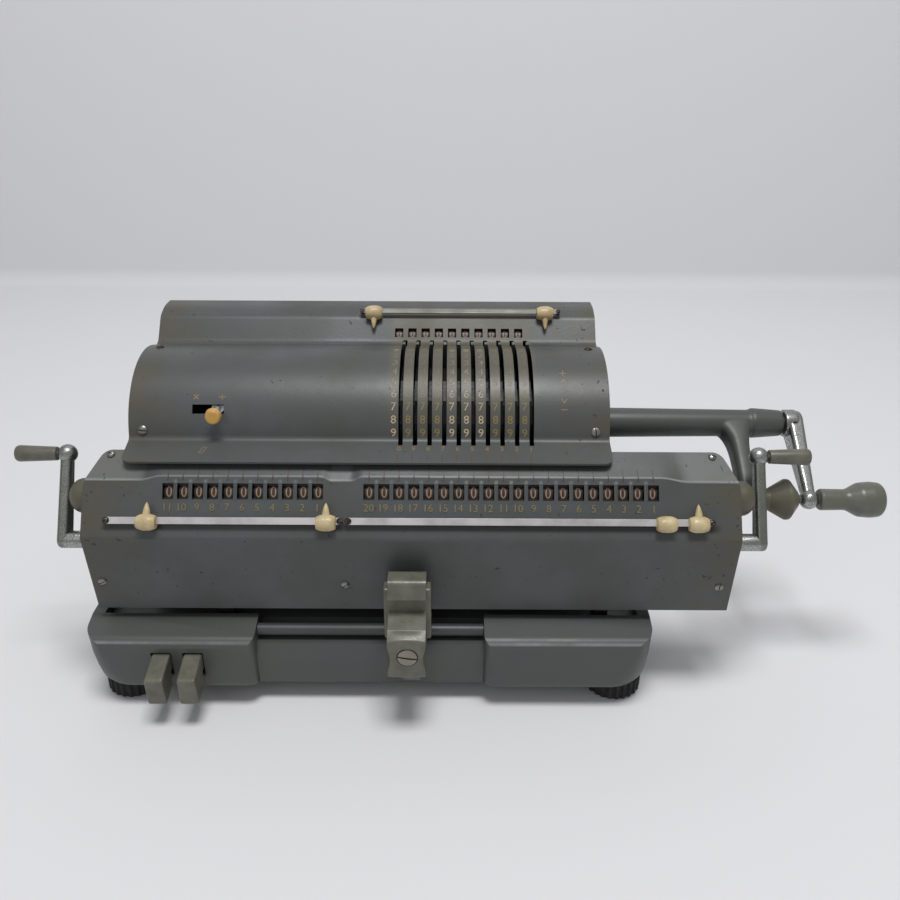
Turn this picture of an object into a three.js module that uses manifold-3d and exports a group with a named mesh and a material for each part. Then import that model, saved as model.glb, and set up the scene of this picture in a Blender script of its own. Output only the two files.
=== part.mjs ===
// Pinwheel calculator: a hand-cranked desk calculator with ten setting levers on a rotor, a sliding carriage with
// two rows of numeral wheels, two clearing cranks and a main crank.
// Millimetres, +X to the operator's right, +Y away from the operator, +Z up.
// Inside, every place is measured from the rotor's axis (y = 0, z = 0) and the middle of the cover (x = 0).
// The finished group is moved once, so that the origin is under the middle of the whole machine.
import * as THREE from 'three';
import { mergeVertices } from 'three/addons/utils/BufferGeometryUtils.js';
import Module from 'manifold-3d';

const wasm = await Module();
wasm.setup();

// Digits, clearances, and how far a cutting tool runs past a face
const digitPitch = 7;
const leverCount = 10;
const counterDigits = 11;
const resultDigits = 20;
const gap = 0.3;
const boreGap = 0.3;
const overcut = 1;

// Rotor, levers and shaft
const firstLeverX = 78;
const shaftRadius = 4;
const rotorCoreRadius = 24;
const rotorSides = 16;
const rotorDiscRadius = 33.5;
const rotorDiscWidth = 3.6;
const discBesideLever = 3.3;
const carryDrumRadius = 31;
const carryDrumLength = 68;
const leverThickness = 1.6;
const leverRingWidth = 5;
const leverTipRadius = 42.6;
const leverTipWidth = 3.4;
const leverTipBevel = [1.5, 0.4];
const leverZeroAngle = 100;
const slotWidth = 2.2;
const slotAngles = [7, 150];
const slotSteps = 30;

// Top cover
const coverWidth = 231;
const sheet = 1.2;
const drumRadius = 39.4;
const lipAngle = 12;
const lipReach = 15.6;
const lipDrop = 4.3;
const lipCornerRadius = 4;
const valleyAngle = 119;
const wallAngle = 48.8;
const wallLength = 17;
const crestRise = 2.9;
const crestRun = 8;
const bumpTopRun = 13;
const bumpBack = 19.4;
const bumpShoulderDrop = 14;
const bumpRounds = [4, 6, 14, 12];
const arcSteps = 12;

// Check dial under the cover
const checkWheelRadius = 8;
const checkWheelWidth = 4;
const checkWheelOffset = 3.4;
const checkWindowWidth = 4.4;
const checkWindowHeight = 5;
const checkShaftRadius = 1.4;
const wheelBelowSheet = 0.7;
const checkWindowUpWall = 7.9;

// Transfer gears
const transferRadius = 10;
const transferWidth = 3;
const transferShaftRadius = 2;
const transferShaftClear = 1.6;

// Side frames
const sideFrameX = 108;
const sideFrameThickness = 3;
const sideFrameRadius = 34;
const bossWall = 3.4;
const frameFootFront = -36;
const frameFootRear = 62;

// Base and feet
const baseWidth = 277;
const baseDepth = 154.5;
const baseFront = -82.5;
const baseRear = baseFront + baseDepth;
const baseTop = -75.5;
const baseHeight = 33.2;
const baseCornerRadius = 10.5;
const baseEdge = 4;
const blockInnerX = 56;
const barSetback = 5.5;
const barDrop = 10.5;
const barDepth = 17;
const baseWall = 9;
const baseRoof = 12;
const footRadius = 15;
const footHeight = 11.3;
const frontSlope = { back: 17.5, down: 4.2 };
const carriageWay = { front: -65, rear: -42, depth: 6, endWall: 6 };
const footInset = { side: 15, front: 19.5, rear: 19 };
const footX = baseWidth / 2 - footInset.side;
const footFrontY = baseFront + footInset.front;
const footRearY = baseRear - footInset.rear;
const footRibs = 20;

// Front rail
const railRadius = 3;
const railSet = { back: 12.5, down: 5.5 };
const railY = baseFront + railSet.back;
const railZ = baseTop - railSet.down;

// Carriage
const carriageX = 21;
const carriageWidth = 307.8;
const carriageTopRear = [-43.4, 4.7];
const carriageBend = [-56, -2.5];
const carriageNose = [-72.3, -27];
const carriageBottom = [-68.6, -69.5];
const noseRadius = 3;
const bendRadius = 2.5;
const cornerCut = 7.2;
const cornerCutDepth = 15.2;
const endPlate = 3;
const endPlateRearDrop = 16;
const numeralRadius = 8.5;
const numeralWidth = 5.2;
const numeralShaftRadius = 2;
const carriageWindowWidth = 5.2;
const carriageWindowHeight = 7.5;
const carriageWindowDown = 7.2;
const firstResultX = 113;
const firstCounterX = -44;
const domeRadius = 8.5;
const domeHeight = 10.2;
const domeShoulder = 3.5;
const domeDrop = 1.8;
const domeSteps = 4;
const bedFront = -64;
const bedRear = -50;
const bedTop = -62;
const bedHeight = 7;
const bedFootX = [-93.5, 93.5];
const bedFootWidth = 7;
const bedFootInset = [2, 4];
const postX = -37;
const postWidth = 4;
const postBase = { forward: 2, radius: 4 };

// Shoe and pin that carry the release handle
const shoeWidth = 12;
const shoeWall = 3.2;
const lugWidth = 6;
const lugWall = 2;
const lugRoot = { back: 24, up: 0.4, radius: 2.2 };
const neckDepth = 6;
const handlePin = [-82, -73.4];
const handlePinRadius = 1.5;

// Release handle and its latch
const handleWidth = 17;
const handleOut = 19;
const handleUp = 32.4;
const handleDown = 12.1;
const handleLine = [
  [2, handleUp],
  [-4, handleUp, 3],
  [-6.5, 23.4, 1.5],
  [-2, 20.4],
  [-1.5, 15.4, 2],
  [-13, 11.9, 3],
  [-handleOut, 8.9, 2.5],
  [-handleOut, -handleDown, 3],
  [-6.5, -handleDown - 0.5, 1],
  [-5, -4.6],
  [4.4, -3.1],
  [6, 13.4],
  [5.8, handleUp, 2],
  [2, handleUp],
];
const latchWidth = 8;
const latchThickness = 2.5;
const latchDrop = 5.5;
const latchSet = 9;
const latchBehindFront = 6;
const latchToothClear = 1;

// Clearing cranks, measured from the middle of the carriage
const clearPivot = [-59.9, -35.5];
const clearBall = [-38.9, 0.1];
const clearBallRadius = 4.6;
const clearArmThickness = 5.4;
const clearHubRadius = 4.3;
const clearArmTipRadius = 3;
const clearStubRadius = 2.2;
const clearPinionRadius = 3.8;
const clearPinionLength = 3;
const clearGripLength = 19.7;
const clearGripRadius = [3.35, 4.05];
const clearGripEdge = [1.2, 1];
const gripPinRadius = 1.4;

// Main crank
const tubeRadiusAtCover = 7.8;
const tubeRadiusAtArm = 6.9;
const tubeCollarRadius = 7.9;
const tubeEndRadius = 6.7;
const tubeArmX = 194.8;
const tubeCollarLength = 17.3;
const tubeEndX = tubeArmX + tubeCollarLength;
const bracketArmWidth = 8.8;
const bracketArmShift = 2.4;
const bracketArmRadius = [6.2, 5.6];
const crankBall = [-36.9, -24.8];
const crankBallRadius = 4.9;
const crankArmThickness = 6.2;
const crankHubRadius = 7.2;
const crankHubLength = 9.5;
const crankHubNose = [3, 4];
const crankClear = 0.9;
const crankArmShift = 0.6;
const crankArmRootRadius = 6.6;
const crankArmTipRadius = 3.4;
const coneRimRadius = 10.3;
const coneNeckRadius = 5.2;
const coneNeckLength = 2.2;
const coneLength = 9;
const coneNeckX = tubeArmX + coneNeckLength;
const coneRimX = coneNeckX + coneLength;
const coneRimWidth = 1.5;
const coneEndRadius = 4.2;
const gripShape = [[0, 4.8], [1, 5.4], [12.4, 5.2], [16.2, 7.4], [21, 9], [27.4, 8.7], [30.3, 6.8], [31.2, 4]];
const gripPinReach = 9.8;
const gripPinShort = 0.2;
const gripSpindleRadius = 2.1;

// Pointer rails and pointers
const railStandOff = 2.4;
const railThickness = 0.8;
const lowerRailHeight = 3.9;
const topRailHeight = 3;
const railPostRadius = 1.2;
const lowerRailDown = 21;
const topRailUp = 2.2;
const topPostExtra = 0.1;
const counterRailSpan = [-142.8, -31.4];
const resultRailSpan = [-30.8, 140.8];
const topRailSpan = [-9.3, 97.1];
const lowerPointerX = [-123, -39.4, 118, 132.8];
const bluntPointerX = lowerPointerX[2];
const topPointerX = [-1.9, 89.5];
const lowerPointer = { width: 10, middle: 3.8, end: 2.9, tip: 6.6, tipRadius: 1.5 };
const topPointer = { width: 8.6, middle: 3.3, end: 2.5, tip: 5.6, tipRadius: 1.3 };
const tipSink = 0.6;
const tipForward = 0.3;

// Shift keys
const keyX = [-101.2, -85.8];
const keyWidth = 8.8;
const keySlotDrop = 10.5;
const keySlotHeight = 14;
const keyOut = 15.1;
const keyDeep = 15.7;
const keyShoulder = 3.7;
const keyLean = 0.6;
const keyBack = { low: 2.6, high: 1.2, up: 2.5, height: 9.9 };
const keyStemHeight = 6;
const keyBehindWall = 8;
const keyBelowRoof = 2;
const keyRounds = [3, 2, 2, 1];

// Count switch
const switchX = -73.1;
const switchAngle = 33;
const switchSlot = [-85, -69.7];
const switchSlotWidth = 4.5;
const switchStemRadius = 1.2;
const switchStemLength = 8;
const switchKnobRadius = 4.1;
const switchKnobThickness = 3.6;
const switchKnobTaper = 0.8;
const switchPlateRadius = 3.2;
const switchPlateThickness = 1;
const switchPlateDepth = 1.5;

// Worked-out values
const radians = Math.PI / 180;
const leverX = Array.from({ length: leverCount }, (_, i) => firstLeverX - i * digitPitch);
const discX = leverX.map((x) => x - discBesideLever);
const coverHalf = coverWidth / 2;
const carriageHalf = carriageWidth / 2;
const baseBottom = baseTop - baseHeight;
const footBottom = baseBottom - gap - footHeight;
const slotReach = leverTipRadius + gap;
const frameReach = sideFrameX + sideFrameThickness - gap;
const barFront = baseFront + barSetback;
const wayFloor = baseTop - carriageWay.depth;
const keyRear = barFront + baseWall + keyBehindWall;
const crankStart = tubeEndX + crankClear;
const clearPlate = carriageHalf + domeHeight + gap * 2;
const handleFront = handlePin[0] - handleOut;
const handleBottom = handlePin[1] - handleDown;
const latchFront = handleFront + latchBehindFront;
const add = (a, b, k = 1) => [a[0] + b[0] * k, a[1] + b[1] * k];
const unit = (a, b) => {
  const run = [b[0] - a[0], b[1] - a[1]];
  const long = Math.hypot(...run);
  return [run[0] / long, run[1] / long];
};
const atAngle = (radius, angle) => [-radius * Math.cos(angle * radians), radius * Math.sin(angle * radians)];
const wallUp = [Math.cos(wallAngle * radians), Math.sin(wallAngle * radians)];
const wallOut = [-wallUp[1], wallUp[0]];
const valley = atAngle(drumRadius, valleyAngle);
const crest = add(valley, wallUp, wallLength);
const checkWindow = add(valley, wallUp, checkWindowUpWall);
const checkAxis = add(checkWindow, wallOut, -(sheet + wheelBelowSheet + checkWheelRadius));
const faceDown = unit(carriageBend, carriageNose);
const faceOut = [faceDown[1], -faceDown[0]];
const numeralDepth = sheet + wheelBelowSheet + numeralRadius;
const carriageWindow = add(carriageBend, faceDown, carriageWindowDown);
const numeralAxis = add(carriageWindow, faceOut, -numeralDepth);
const domeAxis = add(numeralAxis, [0, -domeDrop]);
const transferAxis = transferPlace();

// The gear row lies where it clears the lever tips and almost touches the numeral wheels.
function transferPlace() {
  const fromRotor = slotReach + transferShaftRadius + transferShaftClear;
  const fromWheel = transferRadius + numeralRadius + gap;
  const wheel = Math.hypot(...numeralAxis);
  const spread = Math.acos((fromRotor ** 2 + wheel ** 2 - fromWheel ** 2) / (2 * fromRotor * wheel));
  const below = Math.atan2(-numeralAxis[1], -numeralAxis[0]) + spread;
  return [-fromRotor * Math.cos(below), -fromRotor * Math.sin(below)];
}

// Solids and booleans
function closed(geometry) {
  const plain = new THREE.BufferGeometry();
  plain.setAttribute('position', geometry.getAttribute('position').clone());
  if (geometry.index) plain.setIndex(geometry.index.clone());
  const merged = mergeVertices(plain, 1e-4);
  const old = merged.index.array;
  const kept = [];
  for (let i = 0; i < old.length; i += 3) {
    const [a, b, c] = [old[i], old[i + 1], old[i + 2]];
    if (a !== b && b !== c && a !== c) kept.push(a, b, c);
  }
  merged.setIndex(kept);
  return merged;
}

function solidOf(geometry) {
  const merged = closed(geometry);
  const vertProperties = Float32Array.from(merged.getAttribute('position').array);
  const make = (triVerts) => new wasm.Manifold(new wasm.Mesh({ numProp: 3, vertProperties, triVerts }));
  const triVerts = Uint32Array.from(merged.index.array);
  const made = make(triVerts);
  if (made.volume() > 0) return made;
  for (let i = 0; i < triVerts.length; i += 3) [triVerts[i], triVerts[i + 1]] = [triVerts[i + 1], triVerts[i]];
  return make(triVerts);
}

function geometryOf(solid) {
  const mesh = solid.getMesh();
  const geometry = new THREE.BufferGeometry();
  const step = mesh.numProp;
  const positions = new Float32Array((mesh.vertProperties.length / step) * 3);
  for (let i = 0; i < positions.length / 3; i += 1) {
    for (let k = 0; k < 3; k += 1) positions[i * 3 + k] = mesh.vertProperties[i * step + k];
  }
  geometry.setAttribute('position', new THREE.BufferAttribute(positions, 3));
  geometry.setIndex(Array.from(mesh.triVerts));
  geometry.computeVertexNormals();
  return geometry;
}

function join(...pieces) {
  return geometryOf(pieces.map(solidOf).reduce((whole, piece) => whole.add(piece)));
}

function cut(body, ...tools) {
  return geometryOf(tools.map(solidOf).reduce((left, tool) => left.subtract(tool), solidOf(body)));
}

// Outlines in the (y, z) plane
function rounded(points, steps = 3) {
  const out = [];
  points.forEach((point, i) => {
    const radius = point[2] ?? 0;
    const before = points[i - 1];
    const after = points[i + 1];
    if (!radius || !before || !after) {
      out.push([point[0], point[1]]);
      return;
    }
    const toBefore = unit(point, before);
    const toAfter = unit(point, after);
    const half = Math.acos(toBefore[0] * toAfter[0] + toBefore[1] * toAfter[1]) / 2;
    const back = radius / Math.tan(half);
    const middle = add([0, 0], add(toBefore, toAfter));
    const long = Math.hypot(...middle);
    const centre = add(point, middle, radius / Math.sin(half) / long);
    const start = add(point, toBefore, back);
    const end = add(point, toAfter, back);
    const from = Math.atan2(start[1] - centre[1], start[0] - centre[0]);
    let turn = Math.atan2(end[1] - centre[1], end[0] - centre[0]) - from;
    if (turn > Math.PI) turn -= 2 * Math.PI;
    if (turn < -Math.PI) turn += 2 * Math.PI;
    for (let k = 0; k <= steps; k += 1) {
      const angle = from + (turn * k) / steps;
      out.push([centre[0] + radius * Math.cos(angle), centre[1] + radius * Math.sin(angle)]);
    }
  });
  return out;
}

// The same line moved sideways: a positive distance moves it to the left of its direction.
function beside(points, distance) {
  return points.map((point, i) => {
    const before = i ? unit(points[i - 1], point) : unit(point, points[1]);
    const after = i < points.length - 1 ? unit(point, points[i + 1]) : before;
    const normals = [-before[1] - after[1], before[0] + after[0]];
    const share = distance / (1 + before[0] * after[0] + before[1] * after[1]);
    return add(point, normals, share);
  });
}

function circlePoints([y, z, radius], sides = 12, turn = 0) {
  return Array.from({ length: sides }, (_, i) => {
    const angle = turn + (i * 2 * Math.PI) / sides;
    return [y + radius * Math.cos(angle), z + radius * Math.sin(angle)];
  });
}

// The outline of a band stretched round circles given as [y, z, radius].
function bandRound(circles, sides = 12) {
  const points = circles.flatMap((circle) => circlePoints(circle, sides));
  points.sort((a, b) => a[0] - b[0] || a[1] - b[1]);
  const turnOf = (a, b, c) => (b[0] - a[0]) * (c[1] - a[1]) - (b[1] - a[1]) * (c[0] - a[0]);
  const chain = (list) => {
    const kept = [];
    for (const point of list) {
      while (kept.length > 1 && turnOf(kept.at(-2), kept.at(-1), point) <= 1e-6) kept.pop();
      kept.push(point);
    }
    return kept.slice(0, -1);
  };
  return [...chain(points), ...chain([...points].reverse())];
}

// Solids made from outlines
function shapeOf(points) {
  return new THREE.Shape(points.map(([a, b]) => new THREE.Vector2(a, b)));
}

const profileToX = new THREE.Matrix4().makeBasis(
  new THREE.Vector3(0, 1, 0),
  new THREE.Vector3(0, 0, 1),
  new THREE.Vector3(1, 0, 0),
);

function alongX(points, from, to) {
  const geometry = new THREE.ExtrudeGeometry(shapeOf(points), { depth: to - from, bevelEnabled: false });
  return geometry.applyMatrix4(profileToX).translate(from, 0, 0);
}

function alongZ(points, from, to) {
  const geometry = new THREE.ExtrudeGeometry(shapeOf(points), { depth: to - from, bevelEnabled: false });
  return geometry.translate(0, 0, from);
}

function block(x0, x1, y0, y1, z0, z1) {
  const geometry = new THREE.BoxGeometry(x1 - x0, y1 - y0, z1 - z0);
  return geometry.translate((x0 + x1) / 2, (y0 + y1) / 2, (z0 + z1) / 2);
}

function rodX(radius, from, to, [y, z], sides = 12) {
  const rod = new THREE.CylinderGeometry(radius, radius, to - from, sides);
  return rod.rotateZ(-Math.PI / 2).translate((from + to) / 2, y, z);
}

// A turned piece about X from [x, radius] pairs that start and end on the axis.
function turnedX(pairs, [y, z], sides = 20, turn = 0) {
  const profile = pairs.map(([x, radius]) => new THREE.Vector2(radius, x));
  return new THREE.LatheGeometry(profile, sides).rotateY(turn).rotateZ(-Math.PI / 2).translate(0, y, z);
}

function mirrored(geometry) {
  return geometryOf(solidOf(geometry.clone().scale(-1, 1, 1)));
}

// Materials
const paint = (color, roughness, metalness = 0) => new THREE.MeshStandardMaterial({ color, roughness, metalness });
const enamel = paint('#5f6462', 0.55);
const basePaint = paint('#5c605b', 0.6);
const olivePlastic = paint('#6d6b5d', 0.45);
const bracketPaint = paint('#62655f', 0.5);
const blackRubber = paint('#1c1c1b', 0.9);
const chrome = paint('#c3c6c5', 0.25, 1);
const brightSteel = paint('#b5b4ae', 0.35, 1);
const darkSteel = paint('#4a4a47', 0.45, 1);
const ivory = paint('#d5c49a', 0.5);
const orangeIvory = paint('#e3a94f', 0.45);
const blackWheel = paint('#2b201a', 0.6);
const frameSteel = paint('#77776f', 0.5, 1);
const brassGear = paint('#a58b52', 0.4, 1);

function piece(name, geometry, material) {
  const mesh = new THREE.Mesh(geometry, material);
  mesh.name = name;
  return mesh;
}

// Base casting: two blocks at the front with a lower bar between them, hollow underneath.
function baseCasting() {
  const half = baseWidth / 2;
  const inset = half - baseEdge;
  const [front, rear] = [baseFront + baseEdge, baseRear - baseEdge];
  const radius = baseCornerRadius - baseEdge;
  const outline = rounded([
    [0, front],
    [inset, front, radius],
    [inset, rear, radius],
    [-inset, rear, radius],
    [-inset, front, radius],
    [0, front],
  ], 5).slice(0, -1);
  const edge = { bevelEnabled: true, bevelThickness: baseEdge, bevelSize: baseEdge, bevelSegments: 3 };
  const casting = new THREE.ExtrudeGeometry(shapeOf(outline), { depth: baseHeight - 2 * baseEdge, ...edge });
  casting.translate(0, 0, baseBottom + baseEdge);
  const roomTop = baseTop - baseRoof;
  const roomBottom = baseBottom - overcut;
  const frontWall = barFront + baseWall;
  const rearWall = baseRear - baseWall;
  const besideFeet = footX - footRadius - gap * 2;
  const frontFeet = footFrontY + footRadius + gap * 2;
  const rearFeet = footRearY - footRadius - gap * 2;
  const room = block(-besideFeet, besideFeet, frontWall, rearWall, roomBottom, roomTop);
  const wideRoom = block(-half + baseWall, half - baseWall, frontFeet, rearFeet, roomBottom, roomTop);
  const [before, above] = [baseFront - overcut, baseTop + overcut];
  const barTop = block(-blockInnerX, blockInnerX, before, barFront + barDepth, baseTop - barDrop, above);
  const notch = block(-blockInnerX, blockInnerX, before, barFront, roomBottom, above);
  const slope = alongX([
    [baseFront + frontSlope.back, baseTop],
    [baseFront + frontSlope.back, above],
    [before, above],
    [before, baseTop - frontSlope.down],
    [baseFront, baseTop - frontSlope.down],
  ], -half - overcut, half + overcut);
  const way = block(
    -half + carriageWay.endWall, half - carriageWay.endWall,
    carriageWay.front, carriageWay.rear,
    wayFloor, above,
  );
  const slots = keyX.map((x) => keySlot(x));
  return cut(casting, room, wideRoom, barTop, notch, slope, way, ...slots);
}

function keySlot(x) {
  const side = keyWidth / 2 + gap * 2;
  const top = baseTop - keySlotDrop;
  return block(x - side, x + side, baseFront - overcut, keyRear + overcut, top - keySlotHeight, top);
}

function foot(x, y) {
  const ring = circlePoints([0, 0, 1], footRibs * 2).map(([a, b], i) => {
    const radius = i % 2 ? footRadius : footRadius - 1;
    return [x + a * radius, y + b * radius];
  });
  return alongZ(ring, footBottom, footBottom + footHeight);
}

// Side frame: a plate with bosses for the shafts.
function sideFrame(from, to) {
  const plate = bandRound([
    [0, 0, sideFrameRadius],
    [...transferAxis, transferShaftRadius + bossWall],
    [frameFootFront + bossWall, baseTop + gap + bossWall, bossWall],
    [frameFootRear - bossWall, baseTop + gap + bossWall, bossWall],
  ], 24);
  const lobe = bandRound([
    [0, 0, sideFrameRadius / 2],
    [...checkAxis, checkShaftRadius + bossWall],
  ]);
  const whole = join(alongX(plate, from, to), alongX(lobe, from, to));
  return cut(
    whole,
    rodX(shaftRadius + boreGap, from - overcut, to + overcut, [0, 0], 16),
    rodX(transferShaftRadius + boreGap, from - overcut, to + overcut, transferAxis),
    rodX(checkShaftRadius + boreGap, from - overcut, to + overcut, checkAxis),
  );
}

// Top cover: one bent sheet with two side walls, cut by the lever slots, the windows and the switch slot.
function coverLine() {
  const root = atAngle(drumRadius, lipAngle);
  const lip = add(root, [-lipReach, -lipDrop]);
  const arc = Array.from({ length: arcSteps + 1 }, (_, i) => (
    atAngle(drumRadius, lipAngle + ((valleyAngle - lipAngle) * i) / arcSteps)
  ));
  const topFront = add(crest, [crestRun, crestRise]);
  const topRear = add(topFront, [bumpTopRun, 0]);
  const shoulder = add(topRear, [bumpBack, -bumpShoulderDrop]);
  const bottom = [shoulder[0], baseTop + gap];
  const corners = [crest, topFront, topRear, shoulder].map((point, i) => [...point, bumpRounds[i]]);
  return rounded([lip, ...arc, ...corners, bottom]);
}

function lipCorner(side) {
  const [front, height] = coverLine()[0];
  const [inner, rear] = [coverHalf - lipCornerRadius, front + lipCornerRadius];
  const corner = rounded([[inner, front], [coverHalf, front, lipCornerRadius], [coverHalf, rear]]);
  const [outer, before] = [coverHalf + overcut, front - overcut];
  const outline = [...corner, [outer, rear], [outer, before], [inner, before]];
  const tool = alongZ(outline, height - lipDrop, height + lipDrop);
  return side > 0 ? tool : mirrored(tool);
}

function topCover() {
  const line = coverLine();
  const band = [...line, ...beside(line, -sheet).reverse()];
  const bottom = baseTop + gap;
  const front = atAngle(drumRadius, lipAngle)[0];
  const wall = [...line.slice(1), [front, bottom]];
  const tubeHole = rodX(tubeRadiusAtCover + gap, coverHalf - sheet - overcut, coverHalf + overcut, [0, 0], 20);
  const side = wallWindow(checkWindowHeight, sheet * 3);
  const windows = leverX.map((x) => {
    const middle = x - checkWheelOffset;
    return alongX(side, middle - checkWindowWidth / 2, middle + checkWindowWidth / 2);
  });
  const slots = leverX.map((x) => alongX(slotOutline(), x - slotWidth / 2, x + slotWidth / 2));
  return cut(
    join(
      alongX(band, -coverHalf, coverHalf),
      alongX(wall, -coverHalf, -coverHalf + sheet),
      alongX(wall, coverHalf - sheet, coverHalf),
    ),
    tubeHole,
    ...windows,
    ...slots,
    alongX(switchOpening(), switchSlot[0], switchSlot[1]),
    lipCorner(1),
    lipCorner(-1),
  );
}

function slotOutline() {
  const [from, to] = slotAngles;
  return [
    [0, 0],
    ...Array.from({ length: slotSteps + 1 }, (_, i) => atAngle(slotReach, from + ((to - from) * i) / slotSteps)),
  ];
}

function wallWindow(height, depth) {
  const corner = (up, out) => add(add(checkWindow, wallUp, up), wallOut, out);
  const half = height / 2;
  return [corner(-half, -depth), corner(half, -depth), corner(half, depth), corner(-half, depth)];
}

function switchOpening() {
  const out = atAngle(1, switchAngle);
  const up = [out[1], -out[0]];
  const half = switchSlotWidth / 2;
  const corner = (r, s) => add([out[0] * r, out[1] * r], up, s * half);
  const inner = drumRadius - sheet * 2;
  const outer = drumRadius + sheet;
  return [corner(inner, -1), corner(inner, 1), corner(outer, 1), corner(outer, -1)];
}

// Rotor: core, a disc beside each lever and a plain carry drum to the left.
function rotor() {
  const right = firstLeverX + digitPitch - discBesideLever;
  const left = discX.at(-1) - rotorDiscWidth / 2;
  const half = rotorDiscWidth / 2;
  const drumLeft = left - carryDrumLength;
  const profile = [[drumLeft, 0], [drumLeft, carryDrumRadius], [left, carryDrumRadius]];
  [...discX].reverse().forEach((x) => {
    profile.push([x - half, rotorDiscRadius], [x + half, rotorDiscRadius]);
    profile.push([x + half, rotorCoreRadius]);
    if (x < discX[0]) profile.push([x + digitPitch - half, rotorCoreRadius]);
  });
  profile.push([right - half, rotorCoreRadius], [right - half, rotorDiscRadius], [right + half, rotorDiscRadius]);
  profile.push([right + half, 0]);
  const body = turnedX(profile, [0, 0], rotorSides);
  return cut(body, rodX(shaftRadius + boreGap, drumLeft - overcut, right + half + overcut, [0, 0], 12));
}

function settingLever(x) {
  const inner = (rotorCoreRadius + gap) / Math.cos(Math.PI / rotorSides);
  const outer = inner + leverRingWidth;
  const half = leverTipWidth / 2;
  const out = atAngle(1, leverZeroAngle);
  const along = [-out[1], out[0]];
  const corner = (r, s) => add([out[0] * r, out[1] * r], along, s);
  const root = outer - leverRingWidth / 2;
  const [shoulder, end] = leverTipBevel.map((back) => leverTipRadius - back);
  const tip = [
    corner(root, -half),
    corner(shoulder, -half),
    corner(end, -half / 2),
    corner(end, half / 2),
    corner(shoulder, half),
    corner(root, half),
  ];
  const from = x - leverThickness / 2;
  const to = x + leverThickness / 2;
  const ring = join(alongX(circlePoints([0, 0, outer], rotorSides), from, to), alongX(tip, from, to));
  return cut(ring, rodX(inner, from - overcut, to + overcut, [0, 0], rotorSides));
}

// A ten-sided numeral wheel: a flat faces the window at rest.
function tenSided(radius, from, to, [y, z], out) {
  const turn = Math.atan2(out[1], out[0]) + Math.PI / 10;
  return alongX(circlePoints([y, z, radius], 10, turn), from, to);
}

function checkWheel(x) {
  const middle = x - checkWheelOffset;
  const from = middle - checkWheelWidth / 2;
  const to = middle + checkWheelWidth / 2;
  const wheel = tenSided(checkWheelRadius, from, to, checkAxis, wallOut);
  return cut(wheel, rodX(checkShaftRadius + boreGap, from - overcut, to + overcut, checkAxis, 10));
}

function transferGears() {
  const shaft = rodX(transferShaftRadius, -frameReach, frameReach, transferAxis);
  const half = transferWidth / 2;
  const gears = discX.map((x) => rodX(transferRadius, x - half, x + half, transferAxis, 12));
  return join(shaft, ...gears);
}

// Crank bracket: bored tube, arm and cone seat in one casting.
function crankBracket() {
  const start = sideFrameX + sideFrameThickness + gap;
  const tube = turnedX([
    [start, 0],
    [start, tubeRadiusAtCover],
    [coverHalf, tubeRadiusAtCover],
    [tubeArmX, tubeRadiusAtArm],
    [tubeArmX, tubeCollarRadius],
    [tubeEndX, tubeEndRadius],
    [tubeEndX, 0],
  ], [0, 0], 24);
  const band = bandRound([[0, 0, bracketArmRadius[0]], [...crankBall, bracketArmRadius[1]]]);
  const armEnd = tubeArmX - bracketArmShift;
  const arm = alongX(band, armEnd - bracketArmWidth, armEnd);
  const cone = turnedX([
    [armEnd - bracketArmWidth / 2, 0],
    [armEnd - bracketArmWidth / 2, coneNeckRadius],
    [coneNeckX, coneNeckRadius],
    [coneRimX, coneRimRadius],
    [coneRimX + coneRimWidth, coneRimRadius],
    [tubeEndX, coneEndRadius],
    [tubeEndX, gripSpindleRadius + boreGap],
    [coneRimX, gripSpindleRadius + boreGap],
    [coneRimX, 0],
  ], crankBall, 20);
  return cut(join(tube, arm, cone), rodX(shaftRadius + boreGap, start - overcut, tubeEndX + overcut, [0, 0], 16));
}

function crankArm() {
  const middle = crankStart + crankHubLength / 2 + crankArmShift;
  const end = crankStart + crankHubLength;
  const [noseLength, noseFace] = crankHubNose;
  const hub = turnedX([
    [crankStart, 0],
    [crankStart, crankHubRadius],
    [end - noseLength, crankHubRadius],
    [end, noseFace],
    [end, 0],
  ], [0, 0], 20);
  const band = bandRound([[0, 0, crankArmRootRadius], [...crankBall, crankArmTipRadius]]);
  const arm = alongX(band, middle - crankArmThickness / 2, middle + crankArmThickness / 2);
  const ball = new THREE.SphereGeometry(crankBallRadius, 12, 7);
  ball.rotateZ(-Math.PI / 2).translate(middle, ...crankBall);
  return cut(
    join(hub, arm, ball),
    rodX(shaftRadius + boreGap, crankStart - overcut, end - noseLength + gap, [0, 0], 16),
    rodX(gripSpindleRadius + boreGap, middle - crankHubLength, middle + crankHubLength, crankBall),
  );
}

function crankGrip() {
  const start = crankStart + gripPinShort;
  const neck = crankStart + gripPinReach + gap;
  const outside = gripShape.map(([along, radius]) => [neck + along, radius]);
  return turnedX([
    [start, 0],
    [start, gripSpindleRadius],
    [neck, gripSpindleRadius],
    ...outside,
    [outside.at(-1)[0], 0],
  ], crankBall, 20);
}

// Carriage, in its own group, with x measured from its middle.
function carriageLine() {
  return rounded([carriageTopRear, [...carriageBend, bendRadius], [...carriageNose, noseRadius], carriageBottom]);
}

function cornerTool(side) {
  const x = carriageHalf;
  const rear = carriageTopRear[0] + 1;
  const front = carriageTopRear[0] - cornerCutDepth;
  const [outer, behind] = [x + cornerCut, rear + overcut];
  const inner = x - cornerCut;
  const outline = [[x, front], [outer, front], [outer, behind], [inner, behind], [inner, rear - overcut]];
  const tool = alongZ(outline, domeAxis[1] + domeRadius, carriageTopRear[1] + overcut);
  return side > 0 ? tool : mirrored(tool);
}

function registerX(first, count) {
  return Array.from({ length: count }, (_, i) => first - i * digitPitch);
}

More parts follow.
